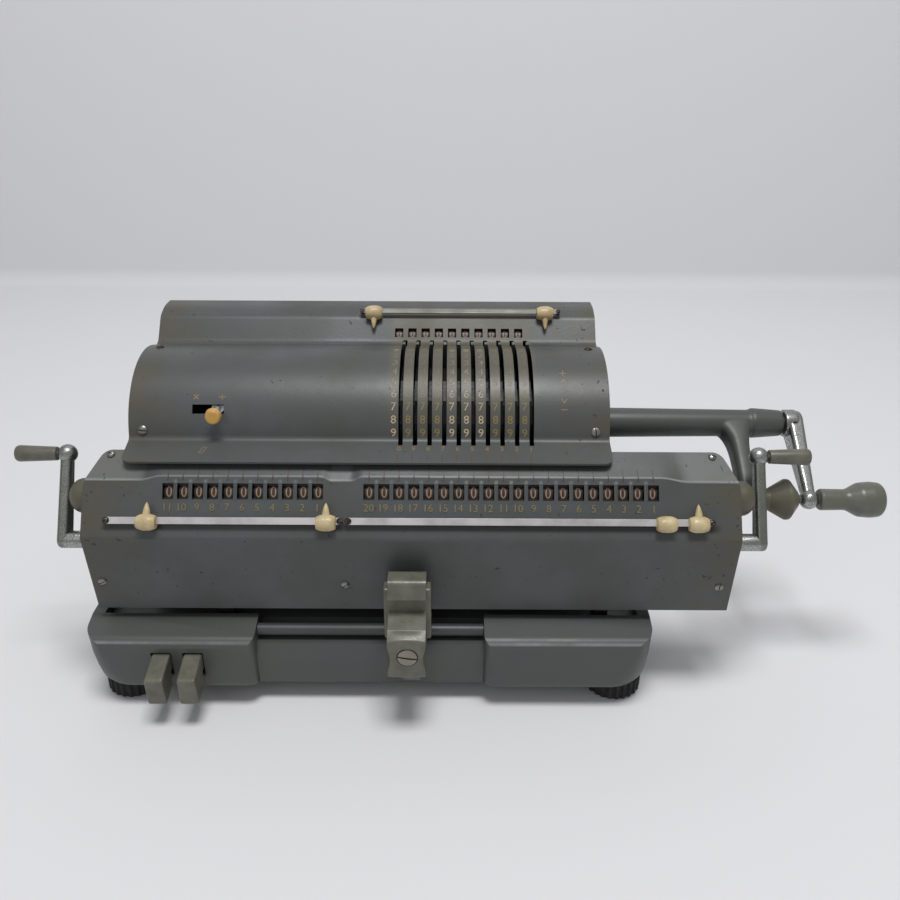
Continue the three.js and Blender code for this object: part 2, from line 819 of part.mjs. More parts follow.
function carriageCover() {
  const line = carriageLine();
  const band = [...line, ...beside(line, sheet).reverse()];
  const corner = (down, out) => add(add(carriageWindow, faceDown, down), faceOut, out);
  const half = carriageWindowHeight / 2;
  const depth = sheet * 2;
  const side = [corner(-half, -depth), corner(half, -depth), corner(half, depth), corner(-half, depth)];
  const all = [...registerX(firstCounterX, counterDigits), ...registerX(firstResultX, resultDigits)];
  const windows = all.map((x) => alongX(side, x - carriageWindowWidth / 2, x + carriageWindowWidth / 2));
  return cut(alongX(band, -carriageHalf, carriageHalf), ...windows, cornerTool(1), cornerTool(-1));
}

function carriageEnd(side) {
  const inside = beside(carriageLine(), sheet + gap);
  const rear = carriageTopRear[0] - overcut;
  const outline = [...inside, [bedRear, carriageBottom[1]], [rear, numeralAxis[1] - endPlateRearDrop]];
  const outer = carriageHalf - gap;
  const plate = alongX(outline, outer - endPlate, outer);
  const dome = turnedX([
    [outer - endPlate / 3, 0],
    [outer - endPlate / 3, domeRadius],
    ...Array.from({ length: domeSteps + 1 }, (_, i) => {
      const angle = (i * Math.PI) / 2 / domeSteps;
      const out = domeShoulder + (domeHeight - domeShoulder) * Math.sin(angle);
      return [carriageHalf + out, domeRadius * Math.cos(angle)];
    }),
  ], domeAxis, 20);
  const made = cut(
    join(cut(plate, cornerTool(1)), dome),
    rodX(numeralShaftRadius + boreGap, outer - endPlate - overcut, outer, numeralAxis),
    rodX(clearStubRadius + boreGap, outer - endPlate - overcut, outer + overcut, clearPivot),
  );
  return side > 0 ? made : mirrored(made);
}

function carriageBed() {
  const reach = carriageHalf - gap - endPlate - gap;
  const bedBottom = bedTop - bedHeight;
  const bar = block(-reach, reach, bedFront, bedRear, bedBottom, bedTop);
  const [footFront, footRear] = [bedFront + bedFootInset[0], bedRear - bedFootInset[1]];
  const feet = bedFootX.map((x) => (
    block(x - bedFootWidth / 2, x + bedFootWidth / 2, footFront, footRear, wayFloor + gap, bedBottom + overcut)
  ));
  const postBand = bandRound([
    [...numeralAxis, numeralShaftRadius + bossWall],
    [numeralAxis[0] - postBase.forward, bedTop, postBase.radius],
  ]);
  const post = alongX(postBand, postX - postWidth / 2, postX + postWidth / 2);
  const lugBand = bandRound([
    [...handlePin, handlePinRadius + lugWall],
    [...add(handlePin, [lugRoot.back, lugRoot.up]), lugRoot.radius],
  ]);
  const lug = alongX(lugBand, -lugWidth / 2, lugWidth / 2);
  const neck = block(
    -lugWidth / 2, lugWidth / 2,
    footFront, footFront + neckDepth,
    handlePin[1], bedBottom + overcut,
  );
  const side = railRadius + gap;
  const shoe = block(
    -shoeWidth / 2, shoeWidth / 2,
    railY - side - shoeWall, railY + side + shoeWall,
    railZ - railRadius, handlePin[1] + lugWall / 2,
  );
  const railRoom = join(
    rodX(side, -shoeWidth, shoeWidth, [railY, railZ]),
    block(-shoeWidth, shoeWidth, railY - side, railY + side, railZ - railRadius - overcut, railZ),
  );
  const pinReach = handleWidth / 2 - overcut;
  const pin = rodX(handlePinRadius, -pinReach, pinReach, handlePin);
  const bore = rodX(numeralShaftRadius + boreGap, postX - postWidth, postX + postWidth, numeralAxis);
  return cut(join(bar, ...feet, post, lug, neck, shoe, pin), railRoom, bore);
}

function numeralRow(xs, shaftFrom, shaftTo) {
  const half = numeralWidth / 2;
  const wheels = xs.map((x) => tenSided(numeralRadius, x - half, x + half, numeralAxis, faceOut));
  return join(rodX(numeralShaftRadius, shaftFrom, shaftTo, numeralAxis), ...wheels);
}

// Clearing crank with its stub shaft, made for the right end.
function clearCrank() {
  const plateEnd = clearPlate + clearArmThickness;
  const inner = carriageHalf - endPlate - gap * 2;
  const pinionEnd = inner - clearPinionLength;
  const band = bandRound([[...clearPivot, clearHubRadius], [...clearBall, clearArmTipRadius]]);
  const arm = alongX(band, clearPlate, plateEnd);
  const middle = (clearPlate + plateEnd) / 2;
  const hub = rodX(clearHubRadius, carriageHalf + gap, plateEnd, clearPivot, 16);
  const stub = rodX(clearStubRadius, pinionEnd, carriageHalf + overcut, clearPivot);
  const pinion = rodX(clearPinionRadius, pinionEnd, inner, clearPivot);
  const ball = new THREE.SphereGeometry(clearBallRadius, 10, 6);
  ball.rotateZ(-Math.PI / 2).translate(middle, ...clearBall);
  const pinBore = rodX(gripPinRadius + boreGap, middle, middle + clearBallRadius + overcut, clearBall);
  return cut(join(arm, hub, stub, pinion, ball), pinBore);
}

function clearGrip() {
  const middle = clearPlate + clearArmThickness / 2;
  const start = middle + clearBallRadius + gap;
  const end = start + clearGripLength;
  const [slim, wide] = clearGripRadius;
  const [edgeLength, edgeDepth] = clearGripEdge;
  return turnedX([
    [middle + gap, 0],
    [middle + gap, gripPinRadius],
    [start, gripPinRadius],
    [start, slim],
    [end - edgeLength, wide],
    [end, wide - edgeDepth],
    [end, 0],
  ], clearBall, 16);
}

// Release handle: upper knob, recess and lower block, forked over the shoe's lug. Its side is drawn from its pin.
function releaseHandle() {
  const half = handleWidth / 2;
  const outline = rounded(handleLine).slice(0, -1).map((point) => add(handlePin, point));
  const side = lugWidth / 2 + gap;
  const forkWall = handlePinRadius + lugWall + overcut;
  const below = handleBottom - overcut * 2;
  const fork = block(-side, side, handlePin[0] - forkWall, railY, below, handlePin[1] + forkWall + overcut);
  const latchSide = latchWidth / 2 + gap;
  const latchRear = latchFront + latchThickness;
  const pocket = block(
    -latchSide, latchSide,
    latchFront - gap, latchRear + gap,
    below, handleBottom + latchSet + gap,
  );
  const pinBore = rodX(handlePinRadius + boreGap, -handleWidth, handleWidth, handlePin);
  return cut(alongX(outline, -half, half), fork, pocket, pinBore);
}

function releaseLatch() {
  const half = latchWidth / 2;
  const bottom = handleBottom - latchDrop;
  const plate = block(-half, half, latchFront, latchFront + latchThickness, bottom, handleBottom + latchSet);
  const tooth = block(-half, half, latchFront, barFront - latchToothClear, bottom, bottom + latchThickness);
  return join(plate, tooth);
}

// Pointer rails and pointers, in a frame where z runs up the face and y runs into it.
function pointerRail([from, to], height, postLength = railStandOff - gap) {
  const strip = block(from, to, -railThickness / 2, railThickness / 2, -height / 2, height / 2);
  const inset = railPostRadius;
  const posts = [from + inset, to - inset].map((x) => {
    const post = new THREE.CylinderGeometry(railPostRadius, railPostRadius, postLength, 10);
    return post.translate(x, postLength / 2, 0);
  });
  return join(strip, ...posts);
}

function pointer(size, height, way, tipped = true) {
  const half = size.width / 2;
  const barrel = turnedX([
    [-half, 0],
    [-half, size.end],
    [-half / 3, size.middle],
    [half / 3, size.middle],
    [half, size.end],
    [half, 0],
  ], [0, 0], 12);
  const tip = new THREE.ConeGeometry(size.tipRadius, size.tip, 8);
  tip.rotateX((way * Math.PI) / 2).translate(0, -tipForward, way * (size.middle - tipSink + size.tip / 2));
  const room = block(
    -size.width, size.width,
    -railThickness / 2 - gap, railThickness / 2 + gap,
    -height / 2 - gap, height / 2 + gap,
  );
  const back = block(-size.width, size.width, railStandOff - gap, size.width, -size.width, size.width);
  return cut(tipped ? join(barrel, tip) : barrel, room, back);
}

// Shift key: a stem through the base's slot and a paddle that hangs in front of it.
function shiftKey(x) {
  const front = baseFront - keyOut;
  const top = baseTop - keySlotDrop - overcut;
  const shoulder = top - keyShoulder;
  const paddleEnd = shoulder - keyDeep;
  const stemTop = baseTop - baseRoof - keyBelowRoof;
  const outline = rounded([
    [keyRear, stemTop],
    [baseFront - overcut, top, keyRounds[0]],
    [front, shoulder, keyRounds[1]],
    [front + keyLean, paddleEnd, keyRounds[2]],
    [baseFront - keyBack.low, paddleEnd + keyBack.up, keyRounds[3]],
    [baseFront - keyBack.high, paddleEnd + keyBack.height],
    [keyRear, stemTop - keyStemHeight],
  ]);
  return alongX(outline, x - keyWidth / 2, x + keyWidth / 2);
}

// Count switch: a level stem through the slot, with a round knob in front and a plate behind the sheet.
function switchKnob() {
  const height = atAngle(drumRadius - sheet / 2, switchAngle)[1];
  const knobY = atAngle(drumRadius, switchAngle)[0] - switchStemLength;
  const plateY = -Math.sqrt((drumRadius - sheet - switchPlateDepth) ** 2 - height ** 2);
  const stem = new THREE.CylinderGeometry(switchStemRadius, switchStemRadius, plateY - knobY, 10);
  stem.translate(0, (plateY + knobY) / 2, height);
  const knobFront = switchKnobRadius - switchKnobTaper;
  const knob = new THREE.CylinderGeometry(switchKnobRadius, knobFront, switchKnobThickness, 20);
  knob.translate(0, knobY, height);
  const plate = new THREE.CylinderGeometry(switchPlateRadius, switchPlateRadius, switchPlateThickness, 10);
  plate.rotateX(Math.atan2(height, plateY)).translate(0, plateY, height);
  return join(stem, knob, plate).translate(switchX, 0, 0);
}

// The machine put together
function tilted(up, [y, z], ...meshes) {
  const group = new THREE.Group();
  group.add(...meshes);
  group.rotation.x = -Math.atan2(up[0], up[1]);
  group.position.set(0, y, z);
  return group;
}

function frameGroup() {
  const group = new THREE.Group();
  const inner = sideFrameX;
  const outer = sideFrameX + sideFrameThickness;
  group.add(
    piece('base_casting', baseCasting(), basePaint),
    piece('foot_front_left', foot(-footX, footFrontY), blackRubber),
    piece('foot_front_right', foot(footX, footFrontY), blackRubber),
    piece('foot_rear_left', foot(-footX, footRearY), blackRubber),
    piece('foot_rear_right', foot(footX, footRearY), blackRubber),
    piece('left_side_frame', sideFrame(-outer, -inner), frameSteel),
    piece('right_side_frame', sideFrame(inner, outer), frameSteel),
    piece('top_cover', topCover(), enamel),
    piece('crank_bracket', crankBracket(), bracketPaint),
    piece('front_rail', rodX(railRadius, -blockInnerX + gap, blockInnerX - gap, [railY, railZ], 16), darkSteel),
    piece('check_shaft', rodX(checkShaftRadius, -frameReach, frameReach, checkAxis, 10), darkSteel),
    piece('transfer_gears', transferGears(), brassGear),
    piece('count_switch_knob', switchKnob(), orangeIvory),
  );
  leverX.forEach((x, i) => group.add(piece(`check_wheel_${i + 1}`, checkWheel(x), blackWheel)));
  keyX.forEach((x, i) => group.add(piece(i ? 'shift_key_right' : 'shift_key_left', shiftKey(x), olivePlastic)));
  return group;
}

function topRailGroup() {
  const railPlace = add(add(crest, wallUp, topRailUp), wallOut, railStandOff);
  const postLength = railStandOff + topPostExtra;
  const rail = piece('top_pointer_rail', pointerRail(topRailSpan, topRailHeight, postLength), brightSteel);
  const pointers = topPointerX.map((x, i) => {
    const mesh = piece(`top_pointer_${i + 1}`, pointer(topPointer, topRailHeight, -1), ivory);
    mesh.position.x = x;
    return mesh;
  });
  return tilted(wallUp, railPlace, rail, ...pointers);
}

function rotorGroup() {
  const group = new THREE.Group();
  const shaftEnd = crankStart + crankHubLength - crankHubNose[0];
  group.add(
    piece('main_shaft', rodX(shaftRadius, -frameReach, shaftEnd, [0, 0], 16), darkSteel),
    piece('pinwheel_rotor', rotor(), brassGear),
    piece('crank_arm', crankArm(), chrome),
    piece('crank_grip', crankGrip(), olivePlastic),
  );
  leverX.forEach((x, i) => group.add(piece(`setting_lever_${i + 1}`, settingLever(x), brightSteel)));
  return group;
}

function carriageGroup() {
  const group = new THREE.Group();
  group.position.x = carriageX;
  const outer = carriageHalf - gap;
  const counterX = registerX(firstCounterX, counterDigits);
  const resultX = registerX(firstResultX, resultDigits);
  group.add(
    piece('carriage_cover', carriageCover(), enamel),
    piece('carriage_left_end', carriageEnd(-1), enamel),
    piece('carriage_right_end', carriageEnd(1), enamel),
    piece('carriage_bed', carriageBed(), darkSteel),
    piece('counter_wheels', numeralRow(counterX, -outer + gap, postX - gap), blackWheel),
    piece('result_wheels', numeralRow(resultX, postX + gap, outer - gap), blackWheel),
    piece('counter_clear_crank', mirrored(clearCrank()), chrome),
    piece('counter_clear_grip', mirrored(clearGrip()), olivePlastic),
    piece('result_clear_crank', clearCrank(), chrome),
    piece('result_clear_grip', clearGrip(), olivePlastic),
    piece('release_handle', releaseHandle(), olivePlastic),
    piece('release_latch', releaseLatch(), darkSteel),
  );
  const railPlace = add(add(carriageBend, faceDown, lowerRailDown), faceOut, railStandOff);
  const pointers = lowerPointerX.map((x, i) => {
    const shape = pointer(lowerPointer, lowerRailHeight, 1, x !== bluntPointerX);
    const mesh = piece(`decimal_pointer_${i + 1}`, shape, ivory);
    mesh.position.x = x;
    return mesh;
  });
  group.add(tilted(
    [-faceDown[0], -faceDown[1]],
    railPlace,
    piece('counter_pointer_rail', pointerRail(counterRailSpan, lowerRailHeight), brightSteel),
    piece('result_pointer_rail', pointerRail(resultRailSpan, lowerRailHeight), brightSteel),
    ...pointers,
  ));
  return group;
}

const calculator = new THREE.Group();
calculator.add(frameGroup(), topRailGroup(), rotorGroup(), carriageGroup());
calculator.updateMatrixWorld(true);
const extent = new THREE.Box3().setFromObject(calculator);
calculator.position.set(-(extent.min.x + extent.max.x) / 2, -(extent.min.y + extent.max.y) / 2, -extent.min.z);

export default calculator;
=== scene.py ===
import math

import bmesh
import bpy
from bpy.props import FloatProperty, FloatVectorProperty, PointerProperty
from mathutils import Matrix, Vector


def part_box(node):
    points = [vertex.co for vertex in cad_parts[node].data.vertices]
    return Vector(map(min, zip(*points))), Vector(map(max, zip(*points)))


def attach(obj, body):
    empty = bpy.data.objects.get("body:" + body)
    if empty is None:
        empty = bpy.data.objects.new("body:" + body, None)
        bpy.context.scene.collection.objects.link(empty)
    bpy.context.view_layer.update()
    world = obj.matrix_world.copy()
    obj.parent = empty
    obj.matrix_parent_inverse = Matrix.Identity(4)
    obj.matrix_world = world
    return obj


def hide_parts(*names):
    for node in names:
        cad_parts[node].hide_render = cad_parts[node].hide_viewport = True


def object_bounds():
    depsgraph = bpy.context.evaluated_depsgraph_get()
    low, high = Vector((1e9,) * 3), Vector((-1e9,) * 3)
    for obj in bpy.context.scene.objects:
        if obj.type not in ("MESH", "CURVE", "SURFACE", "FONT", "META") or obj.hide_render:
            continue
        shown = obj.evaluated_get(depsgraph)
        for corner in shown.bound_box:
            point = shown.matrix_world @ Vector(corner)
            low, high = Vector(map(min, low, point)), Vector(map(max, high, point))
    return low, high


bl_info = {
    "name": "Pinwheel calculator",
    "version": (1, 0, 0),
    "blender": (4, 5, 0),
    "location": "View3D > Sidebar > Calculator",
    "description": "Dresses the frame of a hand-cranked calculator with covers, wheels, cranks and figures",
    "category": "Object",
}

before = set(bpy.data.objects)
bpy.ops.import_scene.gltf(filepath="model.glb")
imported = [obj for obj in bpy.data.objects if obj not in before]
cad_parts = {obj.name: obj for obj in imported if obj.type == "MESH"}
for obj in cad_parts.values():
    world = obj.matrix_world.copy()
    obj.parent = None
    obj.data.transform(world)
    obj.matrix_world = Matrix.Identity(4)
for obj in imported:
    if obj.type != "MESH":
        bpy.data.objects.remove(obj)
CAD_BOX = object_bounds()
MM = 0.001


def middle(node):
    low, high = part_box(node)
    return (low + high) / 2


# Places are in millimetres from the rotor's axis and the middle of the cover, as on a workshop drawing.
DATUM = Vector((middle("top_cover").x, middle("main_shaft").y, middle("main_shaft").z))


def place(x, y, z):
    return DATUM + Vector((x, y, z)) * MM


def from_datum(node):
    return (middle(node) - DATUM) / MM


# Digits and levers
PITCH = 7
LEVERS = [78 - PITCH * i for i in range(10)]
DIGIT_STEP = 9.2
ZERO_ANGLE = 100
SLOT_WIDTH = 2.2
SLOT_REACH = 42.9

# Top cover
SHEET = 1.2
COVER_HALF = 115.5
DRUM = 39.4
LIP_ANGLE = 12
LIP_REACH = 15.6
LIP_DROP = 4.3
LIP_CORNER = 4
VALLEY_ANGLE = 119
WALL_ANGLE = 48.8
WALL_LENGTH = 17
CHECK_UP = 7.9
CHECK_WINDOW = (4.4, 5)
CHECK_OFFSET = 3.4
SWITCH_SLOT = (-85, -69.7, 4.5)
SWITCH_X = -73.1
SWITCH_ANGLE = 33
COVER_FOOT = -75.2

# Carriage
CARRIAGE = from_datum("carriage_cover").x
CARRIAGE_HALF = 153.9
TOP_REAR = (-43.4, 4.7)
BEND = (-56, -2.5)
NOSE = (-72.3, -27)
BOTTOM = (-68.6, -69.5)
CORNER_CUT = (7.2, 15.2)
CORNER_ROUND = 3.5
WINDOW = (5.2, 7.5)
WINDOW_DOWN = 7.2
FIGURES_DOWN = 14.6
RAIL_DOWN = 21
COUNTER = [-44 - PITCH * i for i in range(11)]
RESULT = [113 - PITCH * i for i in range(20)]
NUMERAL_AXIS = tuple(from_datum("result_wheels"))[1:]
NUMERAL_RADIUS = 8.4
CHECK_AXIS = tuple(from_datum("check_shaft"))[1:]
CHECK_RADIUS = 7.9
CRANK_BALL = tuple(from_datum("crank_grip"))[1:]
CLEAR_BALL = tuple(from_datum("result_clear_grip"))[1:]
CLEAR_PIVOT = (-59.9, -35.5)
KEYS = (-101.2, -85.8)
HANDLE_PIN = (-82, -73.4)
TUBE_START = 111.3
TUBE_RING = 194.8
TUBE_END = 212.1
BRACKET_ARM = 188
DOME_RADIUS = 8.5
DOME_HEIGHT = 10.2
DOME_SHOULDER = 3.5
DOME_AXIS = (NUMERAL_AXIS[0], NUMERAL_AXIS[1] - 1.8)
CLEAR_PLATE = CARRIAGE_HALF + DOME_HEIGHT + 0.6
CARRIAGE_END = CARRIAGE_HALF - 0.3
END_REAR = TOP_REAR[0] - 1
END_SHELF = DOME_AXIS[1] + DOME_RADIUS


# Outlines in the (y, z) plane
def unit(a, b):
    long = math.dist(a, b)
    return (b[0] - a[0]) / long, (b[1] - a[1]) / long


def step(a, b, k=1):
    return a[0] + b[0] * k, a[1] + b[1] * k


def oblong(centre, first, second, across, along):
    """The corners of an oblong whose sides follow two directions."""
    (a0, a1), (b0, b1) = across, along
    return [step(step(centre, first, a), second, b) for a, b in ((a0, b0), (a1, b0), (a1, b1), (a0, b1))]


def on_arc(radius, angle):
    turn = math.radians(angle)
    return -radius * math.cos(turn), radius * math.sin(turn)


def rounded(points, steps=6, closed=False):
    """The line with each corner given as (a, b, radius) turned into an arc."""
    out = []
    count = len(points)
    for i, point in enumerate(points):
        radius = point[2] if len(point) > 2 else 0
        inner = closed or 0 < i < count - 1
        if not radius or not inner:
            out.append((point[0], point[1]))
            continue
        before = unit(point[:2], points[i - 1][:2])
        after = unit(point[:2], points[(i + 1) % count][:2])
        half = math.acos(max(-1, min(1, before[0] * after[0] + before[1] * after[1]))) / 2
        back = radius / math.tan(half)
        way = (before[0] + after[0], before[1] + after[1])
        long = math.hypot(*way)
        centre = step(point, way, radius / math.sin(half) / long)
        first, last = step(point, before, back), step(point, after, back)
        start = math.atan2(first[1] - centre[1], first[0] - centre[0])
        turn = math.atan2(last[1] - centre[1], last[0] - centre[0]) - start
        turn = (turn + math.pi) % (2 * math.pi) - math.pi
        for k in range(steps + 1):
            angle = start + turn * k / steps
            out.append((centre[0] + radius * math.cos(angle), centre[1] + radius * math.sin(angle)))
    return out


def band_round(circles, sides=48):
    """The outline of a band stretched round circles given as (a, b, radius)."""
    points = sorted(
        (a + r * math.cos(2 * math.pi * i / sides), b + r * math.sin(2 * math.pi * i / sides))
        for a, b, r in circles
        for i in range(sides)
    )

    def chain(row):
        kept = []
        for p in row:
            while len(kept) > 1 and (
                (kept[-1][0] - kept[-2][0]) * (p[1] - kept[-2][1])
                - (kept[-1][1] - kept[-2][1]) * (p[0] - kept[-2][0])
            ) <= 1e-9:
                kept.pop()
            kept.append(p)
        return kept[:-1]

    return chain(points) + chain(points[::-1])


def lengths_of(line):
    total = [0.0]
    for a, b in zip(line, line[1:]):
        total.append(total[-1] + math.dist(a, b))
    return total


def point_at(line, lengths, s):
    """The place at a running length along the line."""
    for i in range(1, len(line)):
        if s <= lengths[i] + 1e-9:
            return step(line[i - 1], unit(line[i - 1], line[i]), s - lengths[i - 1])
    return line[-1]


def station(line, lengths, point):
    """The running length of the place on the line that is nearest to a point."""
    best = (1e9, 0)
    for i, (a, b) in enumerate(zip(line, line[1:])):
        way, long = unit(a, b), lengths[i + 1] - lengths[i]
        along = max(0, min(long, (point[0] - a[0]) * way[0] + (point[1] - a[1]) * way[1]))
        best = min(best, (math.dist(step(a, way, along), point), lengths[i] + along))
    return best[1]


# Solids as vertices and faces, in millimetres from the datum
def lathe(profile, start, axis=(1, 0, 0), sides=48):
    """Turns (along, radius) pairs about an axis. A radius of 0 at either end closes the piece."""
    axis = Vector(axis).normalized()
    side = axis.cross(Vector((0, 0, 1)) if abs(axis.z) < 0.9 else Vector((0, 1, 0))).normalized()
    other = axis.cross(side)
    verts, faces, rings = [], [], []
    for along, radius in profile:
        base = Vector(start) + axis * along
        count = 1 if radius < 1e-6 else sides
        rings.append((len(verts), count))
        for i in range(count):
            angle = 2 * math.pi * i / sides
            verts.append(tuple(base + (side * math.cos(angle) + other * math.sin(angle)) * radius))
    for (a, na), (b, nb) in zip(rings, rings[1:]):
        for i in range(sides):
            j = (i + 1) % sides
            if na == 1 and nb == 1:
                continue
            if na == 1:
                faces.append((a, b + j, b + i))
            elif nb == 1:
                faces.append((a + i, a + j, b))
            else:
                faces.append((a + i, a + j, b + j, b + i))
    for (a, na), flip in ((rings[0], True), (rings[-1], False)):
        if na > 1:
            ring = tuple(range(a, a + na))
            faces.append(ring[::-1] if flip else ring)
    return verts, faces


def turned(corners, start, axis=(1, 0, 0), sides=48, steps=4):
    """A lathe piece whose profile corners (along, radius, rounding) are rounded."""
    return lathe(rounded(corners, steps), start, axis, sides)


def rod(long, radius, start, axis=(1, 0, 0), sides=24):
    """A plain round rod from its start along an axis."""
    return lathe([(0, 0), (0, radius), (long, radius), (long, 0)], start, axis, sides)


def loft(rings):
    """Skins a row of closed rings with as many points each, and caps both ends."""
    n = len(rings[0])
    faces = [
        (k * n + i, k * n + (i + 1) % n, (k + 1) * n + (i + 1) % n, (k + 1) * n + i)
        for k in range(len(rings) - 1) for i in range(n)
    ]
    last = n * (len(rings) - 1)
    return [v for ring in rings for v in ring], faces + [tuple(range(n))[::-1], tuple(range(last, last + n))]


def slab(outline, x0, x1):
    """A prism along X on an outline in (y, z)."""
    return loft([[(x, y, z) for y, z in outline] for x in (x0, x1)])


def column(outline, z0, z1):
    """A prism along Z on an outline in (x, y)."""
    return loft([[(x, y, z) for x, y in outline] for z in (z0, z1)])


def box(x0, x1, y0, y1, z0, z1):
    return column([(x0, y0), (x1, y0), (x1, y1), (x0, y1)], z0, z1)


def ball(centre, radius, axis=(1, 0, 0)):
    angles = [math.pi * i / 16 for i in range(1, 16)]
    profile = [(-radius, 0), *((-radius * math.cos(a), radius * math.sin(a)) for a in angles), (radius, 0)]
    return lathe(profile, centre, axis, 32)


class Shape:
    """The vertices and faces of one piece, with a finish number for each face."""

    def __init__(self):
        self.verts, self.faces, self.finish = [], [], []

    def add(self, solid, finish=0):
        base = len(self.verts)
        self.verts += solid[0]
        self.faces += [tuple(base + i for i in face) for face in solid[1]]
        self.finish += [finish] * len(solid[1])
        return self


def link(name, data):
    """Puts a new object into the scene."""
    obj = bpy.data.objects.new(name, data)
    bpy.context.scene.collection.objects.link(obj)
    return obj


def turn_outwards(mesh):
    bm = bmesh.new()
    bm.from_mesh(mesh)
    bmesh.ops.recalc_face_normals(bm, faces=bm.faces)
    bm.to_mesh(mesh)
    bm.free()


def soften(obj, width, segments, angle):
    """Bevels every edge where faces meet at more than the angle."""
    edges = obj.modifiers.new("soft_edges", "BEVEL")
    edges.width = width * MM
    edges.segments = segments
    edges.limit_method = "ANGLE"
    edges.angle_limit = math.radians(angle)


def piece(name, shape, finishes, body, stands_for=(), sharp=35, bevel=0, steps=3, closed=True):
    """Makes the object of a shape, rides it on a body and gives it its finishes."""
    mesh = bpy.data.meshes.new(name)
    mesh.from_pydata([place(*v) for v in shape.verts], [], shape.faces)
    mesh.polygons.foreach_set("material_index", shape.finish)
    for kind in finishes:
        mesh.materials.append(finish(kind))
    obj = link(name, mesh)
    if closed:
        turn_outwards(mesh)
    if bevel:
        soften(obj, bevel, steps, sharp)
        mesh.polygons.foreach_set("use_smooth", [True] * len(mesh.polygons))
        obj.modifiers.new("flat_faces", "WEIGHTED_NORMAL")
    else:
        crease(mesh, sharp)
    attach(obj, body)
    if stands_for:
        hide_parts(*stands_for)
    return obj


def crease(mesh, angle):
    """Smooth faces with an edge line wherever two meet at more than the angle."""
    bm = bmesh.new()
    bm.from_mesh(mesh)
    limit = math.radians(angle)
    for edge in bm.edges:
        edge.smooth = len(edge.link_faces) == 2 and edge.calc_face_angle(0) < limit
    for face in bm.faces:
        face.smooth = True
    bm.to_mesh(mesh)
    bm.free()


def baked(obj):
    """The mesh of an object with its modifiers or its lettering worked out."""
    bpy.context.view_layer.update()
    return bpy.data.meshes.new_from_object(obj.evaluated_get(bpy.context.evaluated_depsgraph_get()))


def settle(obj, angle=35):
    """Applies the modifiers and marks the edges again."""
    made = baked(obj)
    obj.modifiers.clear()
    obj.data = made
    crease(made, angle)
    obj.modifiers.new("flat_faces", "WEIGHTED_NORMAL").keep_sharp = True
    return obj


def carve(obj, solids):
    """Cuts solids out of an object."""
    tools = []
    for verts, faces in solids:
        mesh = bpy.data.meshes.new("tool")
        mesh.from_pydata([place(*v) for v in verts], [], faces)
        turn_outwards(mesh)
        tools.append(link("tool", mesh))
        cut = obj.modifiers.new("cut", "BOOLEAN")
        cut.operation = "DIFFERENCE"
        cut.object = tools[-1]
        cut.solver = "EXACT"
    settle(obj)
    for tool in tools:
        bpy.data.objects.remove(tool)


# Pressed sheets with openings
def spread(must, wish, least=0.35):
    """The values that must be kept, with the others that don't crowd them."""
    kept = sorted(set(must))
    for value in sorted(wish):
        if all(abs(value - k) > least for k in kept):
            kept.append(value)
    return sorted(kept)


def grid(columns, rows, holes, at, reverse=False):
    """The faces of a sheet over columns and rows, left out where they lie in a hole."""
    verts, faces, index = [], [], {}

    def corner(i, j):
        if (i, j) not in index:
            index[i, j] = len(verts)
            verts.append(at(i, columns[i], rows[j]))
        return index[i, j]

    for i in range(len(columns) - 1):
        for j in range(len(rows) - 1):
            x, s = (columns[i] + columns[i + 1]) / 2, (rows[j] + rows[j + 1]) / 2
            if any(x0 < x < x1 and s0 < s < s1 for x0, x1, s0, s1 in holes):
                continue
            face = (corner(i, j), corner(i + 1, j), corner(i + 1, j + 1), corner(i, j + 1))
            faces.append(face[::-1] if reverse else face)
    return verts, faces, index


def press(obj, thickness):
    """Gives an open sheet its thickness, inwards."""
    solid = obj.modifiers.new("sheet", "SOLIDIFY")
    solid.thickness = thickness * MM
    solid.offset = -1
    solid.use_even_offset = True
    return settle(obj, 30)


# Figures
GLYPHS = {}


def glyph(text):
    """The flat outline of a figure as vertices and faces, one unit high and centred."""
    if text not in GLYPHS:
        curve = bpy.data.curves.new("glyph", "FONT")
        curve.body = text
        curve.resolution_u = 3
        holder = link("glyph", curve)
        made = baked(holder)
        xs = [v.co.x for v in made.vertices]
        ys = [v.co.y for v in made.vertices]
        high = max(ys) - min(ys)
        cx, cy = (max(xs) + min(xs)) / 2, (max(ys) + min(ys)) / 2
        wide = (max(xs) - min(xs)) / high
        verts = [((v.co.x - cx) / high, (v.co.y - cy) / high) for v in made.vertices]
        GLYPHS[text] = (verts, [tuple(p.vertices) for p in made.polygons], wide)
        bpy.data.objects.remove(holder)
        bpy.data.meshes.remove(made)
        bpy.data.curves.remove(curve)
    return GLYPHS[text]


def figure(text, height, at, width=None):
    """A figure laid on a surface: at(u, v) gives the place u to the right and v up from its middle."""
    verts, faces, wide = glyph(text)
    stretch = width / (wide * height) if width else 1
    return [tuple(at(u * height * stretch, v * height)) for u, v in verts], faces


def stroke(points, width, at):
    """A painted line of even width through (u, v) points."""
    verts, faces = [], []
    for a, b in zip(points, points[1:]):
        way = unit(a, b)
        side = (-way[1] * width / 2, way[0] * width / 2)
        ends = (step(a, way, -width / 4), step(b, way, width / 4))
        base = len(verts)
        verts += [tuple(at(*step(p, side, k))) for p in ends for k in (1, -1)]
        faces.append((base, base + 1, base + 3, base + 2))
    return verts, faces


def on_drum(x, angle, radius=DRUM, lift=0.05):
    def at(u, v):
        turn = math.radians(angle) + v / radius
        return x + u, -(radius + lift) * math.cos(turn), (radius + lift) * math.sin(turn)

    return at


